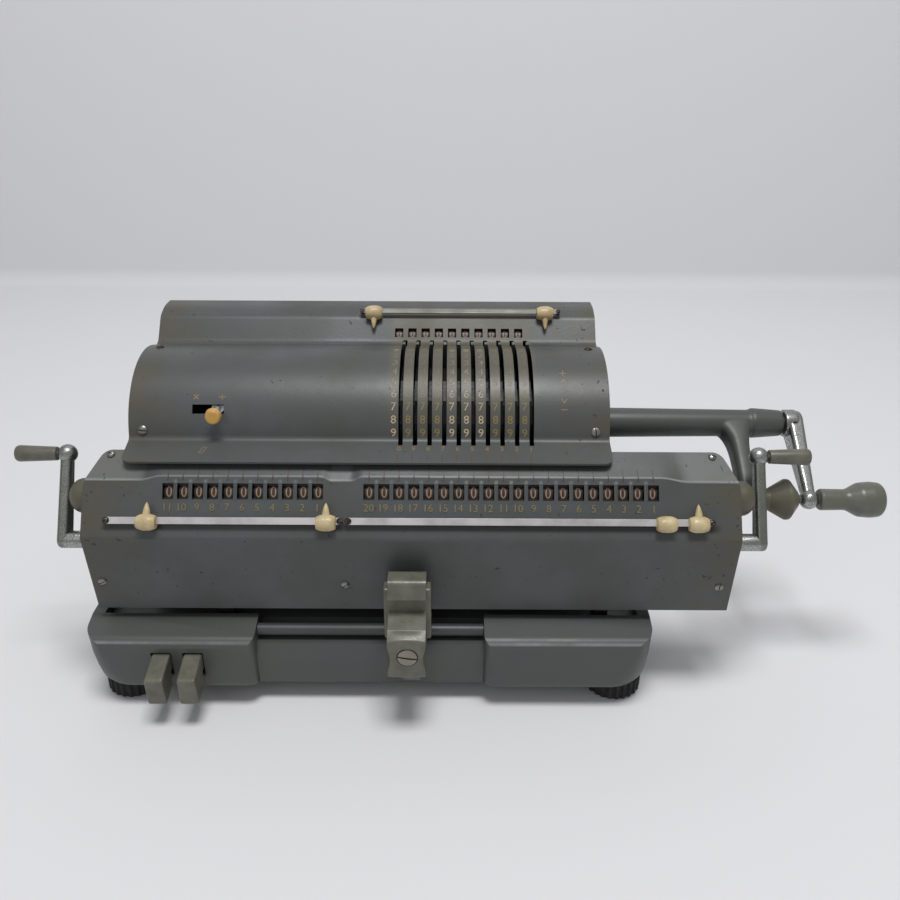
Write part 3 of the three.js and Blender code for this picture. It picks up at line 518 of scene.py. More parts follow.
def on_plane(x, point, up, lift=0.05):
    out = (-up[1], up[0])
    if out[0] > 0:
        out = (-out[0], -out[1])

    def at(u, v):
        return x + u, point[0] + up[0] * v + out[0] * lift, point[1] + up[1] * v + out[1] * lift

    return at


def on_wheel(x, axis, radius, out, digit, lift=0.04):
    start = math.atan2(out[1], out[0]) + math.radians(36 * digit)

    def at(u, v):
        turn = start - v / radius
        return x + u, axis[0] + (radius + lift) * math.cos(turn), axis[1] + (radius + lift) * math.sin(turn)

    return at


def fasten(shape, centre, out, radius, dome=0.5, slot=0.22, turn=0.4, depth=0.45, finish=0, dark=1):
    """A domed screw head with an open slot, standing on a surface.

    The slot's walls and floor get the dark finish, painted shade in the slot."""
    out = Vector(out).normalized()
    side = out.cross(Vector((1, 0, 0)) if abs(out.x) < 0.9 else Vector((0, 1, 0))).normalized()
    side = Matrix.Rotation(turn, 3, out) @ side
    other = out.cross(side)
    centre = Vector(centre)
    half = slot * radius / 2
    edge = math.asin(half / radius)
    rise = radius * dome
    verts, faces, slot_faces = [], [], []
    rings, sides, cuts = 5, 14, 8

    def level(distance):
        return rise * math.sqrt(max(0, 1 - (distance / radius) ** 2 * 0.85))

    bottom = level(0) - depth * radius / 2
    for way in (1, -1):
        base = len(verts)
        for k in range(rings + 1):
            share = k / rings
            for i in range(sides + 1):
                angle = edge + (math.pi - 2 * edge) * i / sides
                u = radius * math.cos(angle) * share
                v = half + (radius * math.sin(angle) - half) * share
                h = level(math.hypot(u, v))
                verts.append(centre + side * u + other * v * way + out * h)
        for k in range(rings):
            for i in range(sides):
                a = base + k * (sides + 1) + i
                faces.append((a, a + 1, a + sides + 2, a + sides + 1))
        rim = [base + rings * (sides + 1) + i for i in range(sides + 1)]
        foot = len(verts)
        for i in rim:
            p = verts[i] - centre
            verts.append(centre + p - out * p.dot(out) - out * 0.05)
        for i in range(sides):
            faces.append((rim[i], rim[i + 1], foot + i + 1, foot + i))
        inner = []
        for i in range(cuts + 1):
            u = radius * math.cos(edge) * (1 - 2 * i / cuts)
            inner.append(centre + side * u + other * half * way + out * level(math.hypot(u, half)))
        start = len(verts)
        verts += inner + [p - out * (p - centre).dot(out) + out * bottom for p in inner]
        for i in range(cuts):
            slot_faces.append((start + i, start + i + 1, start + cuts + 2 + i, start + cuts + 1 + i))
    floor = len(verts)
    reach = radius * 0.99
    for u, v in ((-reach, -half), (reach, -half), (reach, half), (-reach, half)):
        verts.append(centre + side * u + other * v + out * bottom)
    slot_faces.append((floor, floor + 1, floor + 2, floor + 3))
    for group, index in ((faces, finish), (slot_faces, dark)):
        used = sorted({i for face in group for i in face})
        order = {old: new for new, old in enumerate(used)}
        shape.add(([tuple(verts[i]) for i in used], [tuple(order[i] for i in face) for face in group]), index)


def bend_normal():
    """The direction, in y and z, that the middle of the carriage's bend faces."""
    face, top = unit(NOSE, BEND), unit(BEND, TOP_REAR)
    return unit((0, 0), (-face[1] - top[1], face[0] + top[0]))


# Finishes
NOISE = "ShaderNodeTexNoise"
RANGE = "ShaderNodeMapRange"
MATH = "ShaderNodeMath"
MIX = "ShaderNodeMix"
BUMP = "ShaderNodeBump"
SPLIT = "ShaderNodeSeparateXYZ"


def linear(code):
    """The linear colour of an sRGB hex code."""
    values = [int(code[i:i + 2], 16) / 255 for i in (1, 3, 5)]
    return tuple(v / 12.92 if v <= 0.04045 else ((v + 0.055) / 1.055) ** 2.4 for v in values)


def rgba(colour):
    """The value of a colour socket, from an sRGB hex code or a linear colour."""
    return (*(linear(colour) if isinstance(colour, str) else colour[:3]), 1)


def per_mm(size):
    """The scale of a pattern whose features are this many millimetres across."""
    return 1000 / size


def connect(tree, node, inputs):
    """Sets or links the inputs of a node."""
    for socket, value in inputs.items():
        if isinstance(value, bpy.types.NodeSocket):
            tree.links.new(value, node.inputs[socket])
        else:
            node.inputs[socket].default_value = value


def add(tree, kind, inputs, **settings):
    """Adds a node with its settings and links."""
    node = tree.nodes.new(kind)
    for name, value in settings.items():
        setattr(node, name, value)
    connect(tree, node, inputs)
    return node


def blank(name):
    """A new material with its tree, its shader and the object's own coordinates."""
    material = bpy.data.materials.new(name)
    material.use_nodes = True
    tree = material.node_tree
    coords = add(tree, "ShaderNodeTexCoord", {}).outputs["Object"]
    return material, tree, tree.nodes["Principled BSDF"], coords


def look():
    return bpy.context.scene.calculator_look


def sizes():
    return bpy.context.scene.calculator_sizes


def clouded(tree, coords, size, low, high, colours, detail=4, rough=0.5, most=1):
    """A tone that drifts from one colour to another in clouds of a size in millimetres.

    Gives the tone, the share of the second colour and the noise under both."""
    cloud = add(tree, NOISE, {
        "Vector": coords, "Scale": per_mm(size), "Detail": detail, "Roughness": rough}).outputs["Fac"]
    share = add(tree, RANGE, {"Value": cloud, "From Min": low, "From Max": high, "To Max": most}).outputs[0]
    tone = add(tree, MIX, {0: share, 6: rgba(colours[0]), 7: rgba(colours[1])}, data_type="RGBA").outputs[2]
    return tone, share, cloud


# The tints of the enamel are stains, a painted highlight and a painted shadow; each is given by shares that
# are multiplied with each other.
def end_stain(tree, coords, near):
    """Damp stains that crowd towards the ends of a sheet."""
    tint = add(tree, NOISE, {"Vector": coords, "Scale": per_mm(14), "Detail": 5, "Roughness": 0.65})
    blotch = add(tree, RANGE, {
        "Value": tint.outputs["Fac"], "From Min": 0.36, "From Max": 0.62, "To Max": 0.88})
    return near, blotch.outputs[0]


def rubbed_bend(tree, cloud, edge):
    """A thin light line along a bend, where the surface faces the edge's (y, z) way: partly rubbed enamel,
    partly painted highlight.
    """
    normal = add(tree, "ShaderNodeNewGeometry", {}).outputs["Normal"]
    facing = add(tree, "ShaderNodeVectorMath", {0: normal, 1: (0, *edge)}, operation="DOT_PRODUCT")
    band = add(tree, RANGE, {"Value": facing.outputs["Value"], "From Min": 0.978, "From Max": 0.996})
    rubbed = add(tree, RANGE, {
        "Value": cloud, "From Min": 0.4, "From Max": 0.6, "To Min": 0.35, "To Max": 0.85})
    return band.outputs[0], rubbed.outputs[0]


def rail_dirt(tree, coords, away, half, point, down):
    """A soft band of painted shadow just below the rail's (y, z) point, which stops short of the ends of the
    sheet.
    """
    along = add(tree, "ShaderNodeVectorMath", {0: coords, 1: (0, *down)}, operation="DOT_PRODUCT")
    flat = along.outputs["Value"]
    start = place(0, *point).y * down[0] + place(0, *point).z * down[1]
    upper = add(tree, RANGE, {"Value": flat, "From Min": start + 0.6 * MM, "From Max": start + 1.6 * MM})
    lower = add(tree, RANGE, {
        "Value": flat, "From Min": start + 3.6 * MM, "From Max": start + 5 * MM, "To Min": 0.62, "To Max": 0})
    within = add(tree, RANGE, {
        "Value": away, "From Min": half - 12 * MM, "From Max": half - 9 * MM, "To Min": 1, "To Max": 0})
    return upper.outputs[0], lower.outputs[0], within.outputs[0]


def fingered_field(tree, split, left, right, foot, back):
    """The field between two sides, stronger with height and ending at the back.

    All four places are in millimetres from the datum."""
    x0, x1 = place(left, 0, 0).x, place(right, 0, 0).x
    z0, y1 = place(0, 0, foot).z, place(0, back, 0).y
    start = add(tree, RANGE, {"Value": split[0], "From Min": x0 - 2 * MM, "From Max": x0 + 1 * MM})
    stop = add(tree, RANGE, {
        "Value": split[0], "From Min": x1 - 1 * MM, "From Max": x1 + 2 * MM, "To Min": 1, "To Max": 0})
    ahead = add(tree, RANGE, {
        "Value": split[1], "From Min": y1 - 8 * MM, "From Max": y1, "To Min": 1, "To Max": 0})
    height = add(tree, RANGE, {"Value": split[2], "From Min": z0, "From Max": z0 + 26 * MM, "To Max": 0.55})
    return start.outputs[0], stop.outputs[0], ahead.outputs[0], height.outputs[0]


def stoved_enamel(name, colour, shade, chips=0.66, ends=None, edge=None, rail=None, field=None):
    """Stoved enamel on pressed steel: an even satin grey, with a cloudy tone from handling, fine orange peel
    and small brown specks where damp has come through. Towards the ends of the sheet it is stained olive and
    the specks crowd, and along a bend a thin light line is painted, partly rubbed enamel and partly
    highlight.
    A soft dark band of painted shadow lies under a rail, and fingers have browned the field between the lever
    slots."""
    material, tree, surface, coords = blank(name)
    tone, _, cloud = clouded(tree, coords, 38, 0.34, 0.68, (colour, shade), rough=0.6)
    grit = add(tree, NOISE, {"Vector": coords, "Scale": per_mm(1.3), "Detail": 3}).outputs["Fac"]
    gritty = add(tree, RANGE, {"Value": grit, "From Min": 0.3, "From Max": 0.75, "To Max": 0.22}).outputs[0]
    spots = add(tree, NOISE, {"Vector": coords, "Scale": per_mm(2.6), "Detail": 2}).outputs["Fac"]
    split = add(tree, SPLIT, {0: coords}).outputs
    tints = [((gritty,), "#4b4a40")]
    if ends:
        centre, half = ends
        shift = add(tree, MATH, {0: split[0], 1: centre}, operation="SUBTRACT")
        away = add(tree, MATH, {0: shift.outputs[0]}, operation="ABSOLUTE").outputs[0]
        near = add(tree, RANGE, {"Value": away, "From Min": half - 34 * MM, "From Max": half}).outputs[0]
        spots = add(tree, MATH, {0: near, 1: 0.05, 2: spots}, operation="MULTIPLY_ADD").outputs[0]
        tints.append((end_stain(tree, coords, near), "#4f4a3b"))
    if edge:
        # Painted highlight along the bend, partly rubbed enamel.
        tints.append((rubbed_bend(tree, cloud, edge), "#868b8c"))
    if rail:
        # Painted shadow: a soft dark band under the rail.
        tints.append((rail_dirt(tree, coords, away, half, *rail), "#1b1917"))
    if field:
        tints.append((fingered_field(tree, split, *field), "#5d5643"))
    for (share, *others), tint in tints:
        for other in others:
            share = add(tree, MATH, {0: share, 1: other}, operation="MULTIPLY").outputs[0]
        tone = add(tree, MIX, {0: share, 6: tone, 7: rgba(tint)}, data_type="RGBA").outputs[2]
    speck = add(tree, RANGE, {"Value": spots, "From Min": chips, "From Max": chips + 0.06}).outputs[0]
    rust = add(tree, NOISE, {"Vector": coords, "Scale": per_mm(2.2), "Detail": 3}).outputs["Fac"]
    brown = add(tree, MIX, {0: rust, 6: rgba(look().rust), 7: rgba("#2e2a26")}, data_type="RGBA").outputs[2]
    final = add(tree, MIX, {0: speck, 6: tone, 7: brown}, data_type="RGBA")
    satin = add(tree, RANGE, {
        "Value": cloud, "From Min": 0.3, "From Max": 0.7, "To Min": 0.36, "To Max": 0.5})
    dull = add(tree, MATH, {0: speck, 1: 0.35, 2: satin.outputs[0]}, operation="MULTIPLY_ADD")
    sunk = add(tree, MATH, {0: speck, 1: -0.9, 2: grit}, operation="MULTIPLY_ADD")
    bump = add(tree, BUMP, {"Strength": 0.16, "Distance": 0.25 * MM, "Height": sunk.outputs[0]})
    connect(tree, surface, {
        "Base Color": final.outputs[2], "Roughness": dull.outputs[0], "Normal": bump.outputs[0], "IOR": 1.5})
    return material


def moulded_plastic(name, colour, shade, rough=0.34, soft=0.0):
    """Moulded phenolic and urea plastic: a smooth gloss that has yellowed unevenly, with fine scuffs."""
    # Real scuffs are about 0.1 mm wide, too fine to show, so they are drawn coarser.
    material, tree, surface, coords = blank(name)
    tone, _, _ = clouded(tree, coords, 7, 0.36, 0.66, (colour, shade), rough=0.6)
    scuffs = add(tree, NOISE, {"Vector": coords, "Scale": per_mm(0.9), "Detail": 5, "Roughness": 0.7})
    scuff = scuffs.outputs["Fac"]
    gloss = add(tree, RANGE, {
        "Value": scuff, "From Min": 0.35, "From Max": 0.7, "To Min": rough - 0.06, "To Max": rough + 0.14})
    bump = add(tree, BUMP, {"Strength": 0.08, "Distance": 0.1 * MM, "Height": scuff})
    connect(tree, surface, {
        "Base Color": tone, "Roughness": gloss.outputs[0], "Normal": bump.outputs[0], "IOR": 1.54,
        "Subsurface Weight": soft, "Subsurface Scale": 1.5 * MM})
    return material


def worn_plating(name, colour, pits, rough=0.16, pit_size=1.6, threshold=0.58):
    """Nickel and chrome plate on steel, or cut brass: a bright mirror broken by dull pits."""
    material, tree, surface, coords = blank(name)
    low, high = threshold - 0.05, threshold + 0.04
    tone, pit, _ = clouded(tree, coords, pit_size, low, high, (colour, pits), 6, 0.68)
    haze = add(tree, NOISE, {"Vector": coords, "Scale": per_mm(9), "Detail": 3}).outputs["Fac"]
    hazy = add(tree, RANGE, {
        "Value": haze, "From Min": 0.35, "From Max": 0.7, "To Min": rough, "To Max": rough + 0.2})
    dull = add(tree, MATH, {0: pit, 1: 0.35, 2: hazy.outputs[0]}, operation="MULTIPLY_ADD")
    sunk = add(tree, MATH, {0: pit, 1: -1.0}, operation="MULTIPLY")
    bump = add(tree, BUMP, {"Strength": 0.25, "Distance": 0.06 * MM, "Height": sunk.outputs[0]})
    connect(tree, surface, {
        "Base Color": tone, "Metallic": 1, "Roughness": dull.outputs[0], "Normal": bump.outputs[0]})
    return material


def drawn_steel(name, colour, shade, rough=0.3, metal=1.0):
    """Drawn strip and rod: fine lines along the length give a long soft highlight."""
    # Real drawing lines are about 0.05 mm wide, too fine to show, so they are drawn coarser.
    material, tree, surface, coords = blank(name)
    squeeze = add(tree, "ShaderNodeMapping", {"Vector": coords, "Scale": (0.02, 1, 1)}).outputs[0]
    lines = add(tree, NOISE, {"Vector": squeeze, "Scale": per_mm(0.45), "Detail": 3}).outputs["Fac"]
    tone, _, _ = clouded(tree, coords, 12, 0.4, 0.75, (colour, shade))
    gloss = add(tree, RANGE, {
        "Value": lines, "From Min": 0.3, "From Max": 0.7, "To Min": rough - 0.08, "To Max": rough + 0.12})
    bump = add(tree, BUMP, {"Strength": 0.12, "Distance": 0.06 * MM, "Height": lines})
    connect(tree, surface, {
        "Base Color": tone, "Metallic": metal, "Roughness": gloss.outputs[0], "Normal": bump.outputs[0]})
    return material


def moulded_rubber(name, colour):
    """Moulded rubber: black, matt and slightly dusty."""
    material, tree, surface, coords = blank(name)
    tone, _, dust = clouded(tree, coords, 3, 0.45, 0.75, (colour, "#4a4946"), 5, 0.7, most=0.45)
    bump = add(tree, BUMP, {"Strength": 0.25, "Distance": 0.2 * MM, "Height": dust})
    connect(tree, surface, {"Base Color": tone, "Roughness": 0.85, "Normal": bump.outputs[0]})
    return material


def filled_figures(name, colour, under, low, high):
    """Paint filled into stamped figures: bright below one height, and rubbed down to the enamel above the
    other, where hands have worn it. Both heights are in millimetres from the datum."""
    material, tree, surface, coords = blank(name)
    height = add(tree, SPLIT, {0: coords}).outputs[2]
    worn = add(tree, RANGE, {
        "Value": height, "From Min": place(0, 0, low).z, "From Max": place(0, 0, high).z, "To Max": 0.42})
    fleck = add(tree, NOISE, {"Vector": coords, "Scale": per_mm(0.8), "Detail": 4})
    both = add(tree, MATH, {0: fleck.outputs["Fac"], 1: worn.outputs[0]}, operation="ADD")
    gone = add(tree, RANGE, {"Value": both.outputs[0], "From Min": 0.56, "From Max": 0.92, "To Max": 0.9})
    tone = add(tree, MIX, {0: gone.outputs[0], 6: rgba(colour), 7: rgba(under)}, data_type="RGBA")
    connect(tree, surface, {"Base Color": tone.outputs[2], "Roughness": 0.5})
    return material


def painted_drum(name, colour, shade):
    """Lacquered numeral wheel: a dark band worn a little towards brown."""
    material, tree, surface, coords = blank(name)
    tone, _, _ = clouded(tree, coords, 4, 0.4, 0.62, (colour, shade), 3)
    connect(tree, surface, {"Base Color": tone, "Roughness": 0.45})
    return material


def cover_enamel():
    field = (LEVERS[-1] - 6, LEVERS[0] + 2, 8, rail_frame("top")[0][0] + 12)
    return stoved_enamel(
        "stoved_enamel_cover", look().enamel, look().enamel_shade, 0.72,
        (DATUM.x, COVER_HALF * MM), field=field)


def carriage_enamel():
    down, _ = carriage_face()
    return stoved_enamel(
        "stoved_enamel_carriage", look().enamel, look().enamel_shade, 0.7,
        (place(CARRIAGE, 0, 0).x, CARRIAGE_HALF * MM), bend_normal(), (step(BEND, down, RAIL_DOWN), down))


# The maker of each finish with its name, colours and other values.
# A colour is an sRGB hex code or the name of a setting.
LOOKS = ("casting", "casting_shade", "olive", "ivory")
MAKERS = {
    "cover_enamel": (cover_enamel,),
    "carriage_enamel": (carriage_enamel,),
    # The base's enamel has a painted highlight along the edge of its sloping front, partly rubbed enamel.
    "base_enamel": (stoved_enamel, "stoved_enamel_base", "casting", "casting_shade", 0.76, None, (-0.8, 0.6)),
    "cap_paint": (stoved_enamel, "olive_enamel_cap", "#5f5b4c", "#54503f", 0.78),
    "bracket_paint": (stoved_enamel, "brushed_enamel_bracket", "#4e5150", "#464945", 0.8),
    "rod_paint": (stoved_enamel, "japanned_rod", "#404245", "#37393a", 0.8),
    "olive_plastic": (moulded_plastic, "moulded_phenolic_olive", "olive", "#56554a"),
    "grip_plastic": (moulded_plastic, "moulded_phenolic_grey", "#62645a", "#5d5f55", 0.32),
    "ivory": (moulded_plastic, "urea_ivory", "ivory", "#ad966c", 0.36, 0.12),
    "amber": (moulded_plastic, "urea_amber", "#d6a84e", "#c8923a", 0.36, 0.12),
    "amber_rim": (moulded_plastic, "urea_amber_rim", "#cfa860", "#b98c45", 0.36, 0.12),
    "chrome": (worn_plating, "pitted_chrome", "#a7a9a7", "#7d7c76", 0.2, 0.6, 0.55),
    "clear_chrome": (worn_plating, "dulled_nickel", "#8b8e87", "#74766e", 0.3, 0.6, 0.55),
    "bright_steel": (drawn_steel, "nickelled_strip", "#c9c6c6", "#a8a4a5", 0.36, 0.45),
    # The top rail's strip: the nickelled strip painted darker, painted shade.
    "dull_strip": (drawn_steel, "dulled_strip", "#64635f", "#4b4a47", 0.44, 0.8),
    "dark_steel": (drawn_steel, "oiled_steel", "#6d6e6c", "#4c4c49", 0.4),
    "frame_steel": (drawn_steel, "ground_steel_plate", "#8b8b86", "#6f6e68", 0.4),
    # Near-black steel for the levers and the rotor: painted shade inside the lever slots.
    "lever_steel": (drawn_steel, "blued_lever_steel", "#3b3b3a", "#2a2a29", 0.4),
    "gear_brass": (worn_plating, "cut_brass", "#b4965a", "#6b5a3a", 0.28, 5, 0.62),
    "nickel": (worn_plating, "nickelled_screw", "#8f8e88", "#4d4a42", 0.26, 0.8, 0.62),
    "knob_screw": (worn_plating, "polished_screw", "#8d8a80", "#6d6a60", 0.32, 0.6, 0.64),
    "rusty_screw": (worn_plating, "rusted_screw", "#6e635b", "#3a2b24", 0.4, 1.0, 0.5),
    "rubber": (moulded_rubber, "moulded_rubber", "#1d1d1c"),
    "wheel_black": (painted_drum, "lacquered_wheel_edge", "#1c1613", "#120f0d"),
    "wheel_brown": (painted_drum, "lacquered_wheel_band", "#3f2b23", "#2c1e18"),
    # Near black, painted shade: screw slots, the rings round screws and the strips behind the windows.
    "mask": (painted_drum, "blackened_mask", "#14110f", "#0d0b0a"),
    "cream_paint": (filled_figures, "cream_figures", "#9c8570", "#7a6553", 40, 60),
    "cream_fill": (filled_figures, "worn_cream_figures", "#bfa988", "#615c4c", 12, 36),
    "gold_fill": (filled_figures, "worn_gold_figures", "#857335", "#5d5845", 14, 36),
    "bronze_fill": (filled_figures, "bronze_figures", "#837550", "#5f5c4e", -40, 30),
    "sign_fill": (filled_figures, "sign_figures", "#86704a", "#5f5b4c", 20, 120),
    "red_fill": (filled_figures, "red_tick_marks", "#4e382b", "#523f33", 30, 60),
}
FINISHES = {}


def finish(name):
    """The named finish, made on first use."""
    if name not in FINISHES:
        maker, *values = MAKERS[name]
        FINISHES[name] = maker(*(getattr(look(), v) if v in LOOKS else v for v in values))
    return FINISHES[name]


def dress(node, name):
    """Gives a frame node that stays its finish."""
    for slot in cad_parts[node].material_slots:
        slot.material = finish(name)


# Top cover
def wall_frame():
    """The up and out directions of the wall behind the drum, which holds the check windows."""
    turn = math.radians(WALL_ANGLE)
    up = (math.cos(turn), math.sin(turn))
    return up, (-up[1], up[0])


def cover_line():
    root = on_arc(DRUM, LIP_ANGLE)
    lip = step(root, (-LIP_REACH, -LIP_DROP))
    arc = [on_arc(DRUM, LIP_ANGLE + 4 + (VALLEY_ANGLE - LIP_ANGLE - 10.5) * i / 64) for i in range(65)]
    up, _ = wall_frame()
    valley = on_arc(DRUM, VALLEY_ANGLE)
    crest = step(valley, up, WALL_LENGTH)
    top_front = step(crest, (8, 2.8))
    top_rear = step(top_front, (13, 0))
    shoulder = step(top_rear, (19.4, -14))
    return rounded([
        lip, (*root, 3.4), *arc, (*valley, 5.5), (*crest, 7), (*top_front, 22), (*top_rear, 14),
        (*shoulder, 12), (shoulder[0], COVER_FOOT),
    ], 8)


def slot_ends(line, lengths):
    """The running lengths between which the sheet lies within reach of the levers."""
    foot = 0
    while math.hypot(*point_at(line, lengths, foot)) > SLOT_REACH:
        foot += 0.05
    s = station(line, lengths, on_arc(DRUM, 100))
    while math.hypot(*point_at(line, lengths, s)) < SLOT_REACH:
        s += 0.05
    return foot, s


def fix_walls(obj):
    """Turns each side wall's face outwards."""
    for polygon in obj.data.polygons:
        if len(polygon.vertices) > 4:
            outward = 1 if obj.data.vertices[polygon.vertices[0]].co.x > DATUM.x else -1
            if polygon.normal.x * outward < 0:
                polygon.flip()
    obj.data.update()


def cover_sheet(line):
    """Presses the cover with its slots and windows, and closes its sides."""
    lengths = lengths_of(line)
    up, _ = wall_frame()
    foot, head = slot_ends(line, lengths)
    valley = on_arc(DRUM, VALLEY_ANGLE)
    wide, tall = CHECK_WINDOW
    window = [station(line, lengths, step(valley, up, CHECK_UP + k * tall / 2)) for k in (-1, 1)]
    half = math.degrees(SWITCH_SLOT[2] / 2 / DRUM)
    switch = [station(line, lengths, on_arc(DRUM, SWITCH_ANGLE + k * half)) for k in (-1, 1)]
    holes = [(x - SLOT_WIDTH / 2, x + SLOT_WIDTH / 2, foot, head) for x in LEVERS]
    holes += [(x - CHECK_OFFSET - wide / 2, x - CHECK_OFFSET + wide / 2, *window) for x in LEVERS]
    holes.append((SWITCH_SLOT[0], SWITCH_SLOT[1], *switch))
    inner = COVER_HALF - LIP_CORNER - 1
    must = [v for hole in holes for v in hole[:2]] + [-COVER_HALF, COVER_HALF, -inner, inner]
    columns = spread(must, range(-105, 110, 7), 0.09)
    rows = spread([0, lengths[-1], foot, head, *window, *switch], lengths + [0.4, 1, 2, 3, 4.2], 0.3)
    last = len(columns) - 1

    def at(i, x, s):
        if i in (0, last) and s < LIP_CORNER:
            away = LIP_CORNER - math.sqrt(max(0, LIP_CORNER ** 2 - (LIP_CORNER - s) ** 2))
            x -= math.copysign(away, x)
        return (x, *point_at(line, lengths, s))

    verts, faces, index = grid(columns, rows, holes, at)
    root = station(line, lengths, on_arc(DRUM, LIP_ANGLE))
    first = next(j for j, s in enumerate(rows) if s > root - 1.2)
    shape = Shape()
    front = point_at(line, lengths, rows[first])[0]
    for i, x in ((0, -COVER_HALF), (last, COVER_HALF)):
        rim = [index[i, j] for j in range(first, len(rows))]
        verts.append((x, front, COVER_FOOT))
        wall = (len(verts) - 1, *rim) if i else (*rim[::-1], len(verts) - 1)
        faces.append(wall if i == 0 else wall[::-1])
    shape.add((verts, faces))
    cover = piece(
        "top_cover_sheet", shape, ["cover_enamel"], "root", ["top_cover"], closed=False)
    fix_walls(cover)
    press(cover, SHEET)


def cover_screws(line):
    """Puts in the screws of the drum, the side walls and the rear."""
    screws = Shape()
    for x in (-108.7, 108.7):
        turn = 1.45 if x < 0 else 0.1
        fasten(screws, (x, *on_arc(DRUM, 18)), (0, *on_arc(1, 18)), 2.3, 0.55, turn=turn)
        fasten(screws, (x, *on_arc(DRUM, 95)), (0, *on_arc(1, 95)), 2, 0.4, turn=0.7, finish=2)
    for x in (-COVER_HALF, COVER_HALF):
        fasten(screws, (x, -7.8, 33.2), (x, 0, 0), 1.8, 0.6)
        fasten(screws, (x, 48, -60), (x, 0, 0), 1.8, 0.6, turn=1.9)
        fasten(screws, (x, -30, -60), (x, 0, 0), 1.8, 0.6, turn=2.5)
    for x in (-90, 90):
        fasten(screws, (x, line[-1][0], -66), (0, 1, 0), 1.9, 0.6, turn=0.9)
    piece("top_cover_screws", screws, ["nickel", "mask", "rusty_screw"], "root", sharp=30)


class CALC_OT_top_cover(bpy.types.Operator):
    """Presses the top cover with its lever slots, check windows and switch slot, and puts in its screws"""

    bl_idname = "calc.top_cover"
    bl_label = "Top cover"

    def execute(self, context):
        line = cover_line()
        cover_sheet(line)
        cover_screws(line)
        return {"FINISHED"}


class CALC_OT_cover_figures(bpy.types.Operator):
    """Fills the stamped digits, ticks and signs of the top cover"""

    bl_idname = "calc.cover_figures"
    bl_label = "Cover figures"

    def execute(self, context):
        height = sizes().slot_digit / MM
        cream, gold, marks, signs = Shape(), Shape(), Shape(), Shape()
        for i, x in enumerate(LEVERS):
            shape = cream if i in (3, 4, 5, 9) else gold
            for digit in range(10):
                angle = ZERO_ANGLE - DIGIT_STEP * digit
                shape.add(figure(str(digit), height, on_drum(x - 3.4, angle), height * 0.63))
        root = on_arc(DRUM, LIP_ANGLE)
        along = unit(step(root, (-LIP_REACH, -LIP_DROP)), root)
        for i, x in enumerate(LEVERS):
            signs.add(figure(str((i + 1) % 10), 2.8, on_plane(x - 0.6, step(root, along, -6.3), along)))
            marks.add(stroke([(0, -2.1), (0, 2.1)], 0.38, on_plane(x - 1, step(root, along, -12.9), along)))
        piece("slot_digits_cream", cream, ["cream_fill"], "root", closed=False)
        piece("slot_digits_gold", gold, ["gold_fill"], "root", closed=False)
        piece("place_marks", marks, ["red_fill"], "root", closed=False)
        for x, sign in ((-83.3, "×"), (-70.8, "÷")):
            signs.add(figure(sign, 2.8, on_drum(x, 41.7)))
        switch_mark = [(-1.7, -2), (0.2, -2), (1.7, 2), (-0.2, 2), (-1.7, -2)]
        signs.add(stroke(switch_mark, 0.4, on_plane(-78.4, step(root, along, -7.9), along)))
        beside_crank = on_drum(93.6, 47.5)
        for points, width in (
            ([(0, -6), (0, 6)], 0.5),
            ([(-1.3, 4.2), (0, 6.2), (1.3, 4.2)], 0.45),
            ([(-1.3, -4.2), (0, -6.2), (1.3, -4.2)], 0.45),
            ([(-1.5, 10), (1.5, 10)], 0.5),
            ([(0, 8.5), (0, 11.5)], 0.5),
            ([(-1.5, -9.5), (1.5, -9.5)], 0.5),
        ):
            signs.add(stroke(points, width, beside_crank))
        piece("cover_signs", signs, ["sign_fill"], "root", closed=False)
        return {"FINISHED"}


# Wheels
def drum_wheel(shape, x, axis, radius, width, band):
    """A numeral wheel with a brown band between black edges."""
    half, inner = width / 2, band / 2
    edge = [(half, radius - 2.5), (half, radius - 0.3), (half - 0.3, radius), (inner, radius)]
    shape.add(lathe([(-along, height) for along, height in edge], (x, *axis), sides=60), 0)
    shape.add(lathe([(-inner, radius), (inner, radius)], (x, *axis), sides=60), 1)
    shape.add(lathe(edge[::-1], (x, *axis), sides=60), 0)


def carriage_face():
    """The down and out directions of the carriage's face, which holds the windows."""
    down = unit(BEND, NOSE)
    return down, (down[1], -down[0])


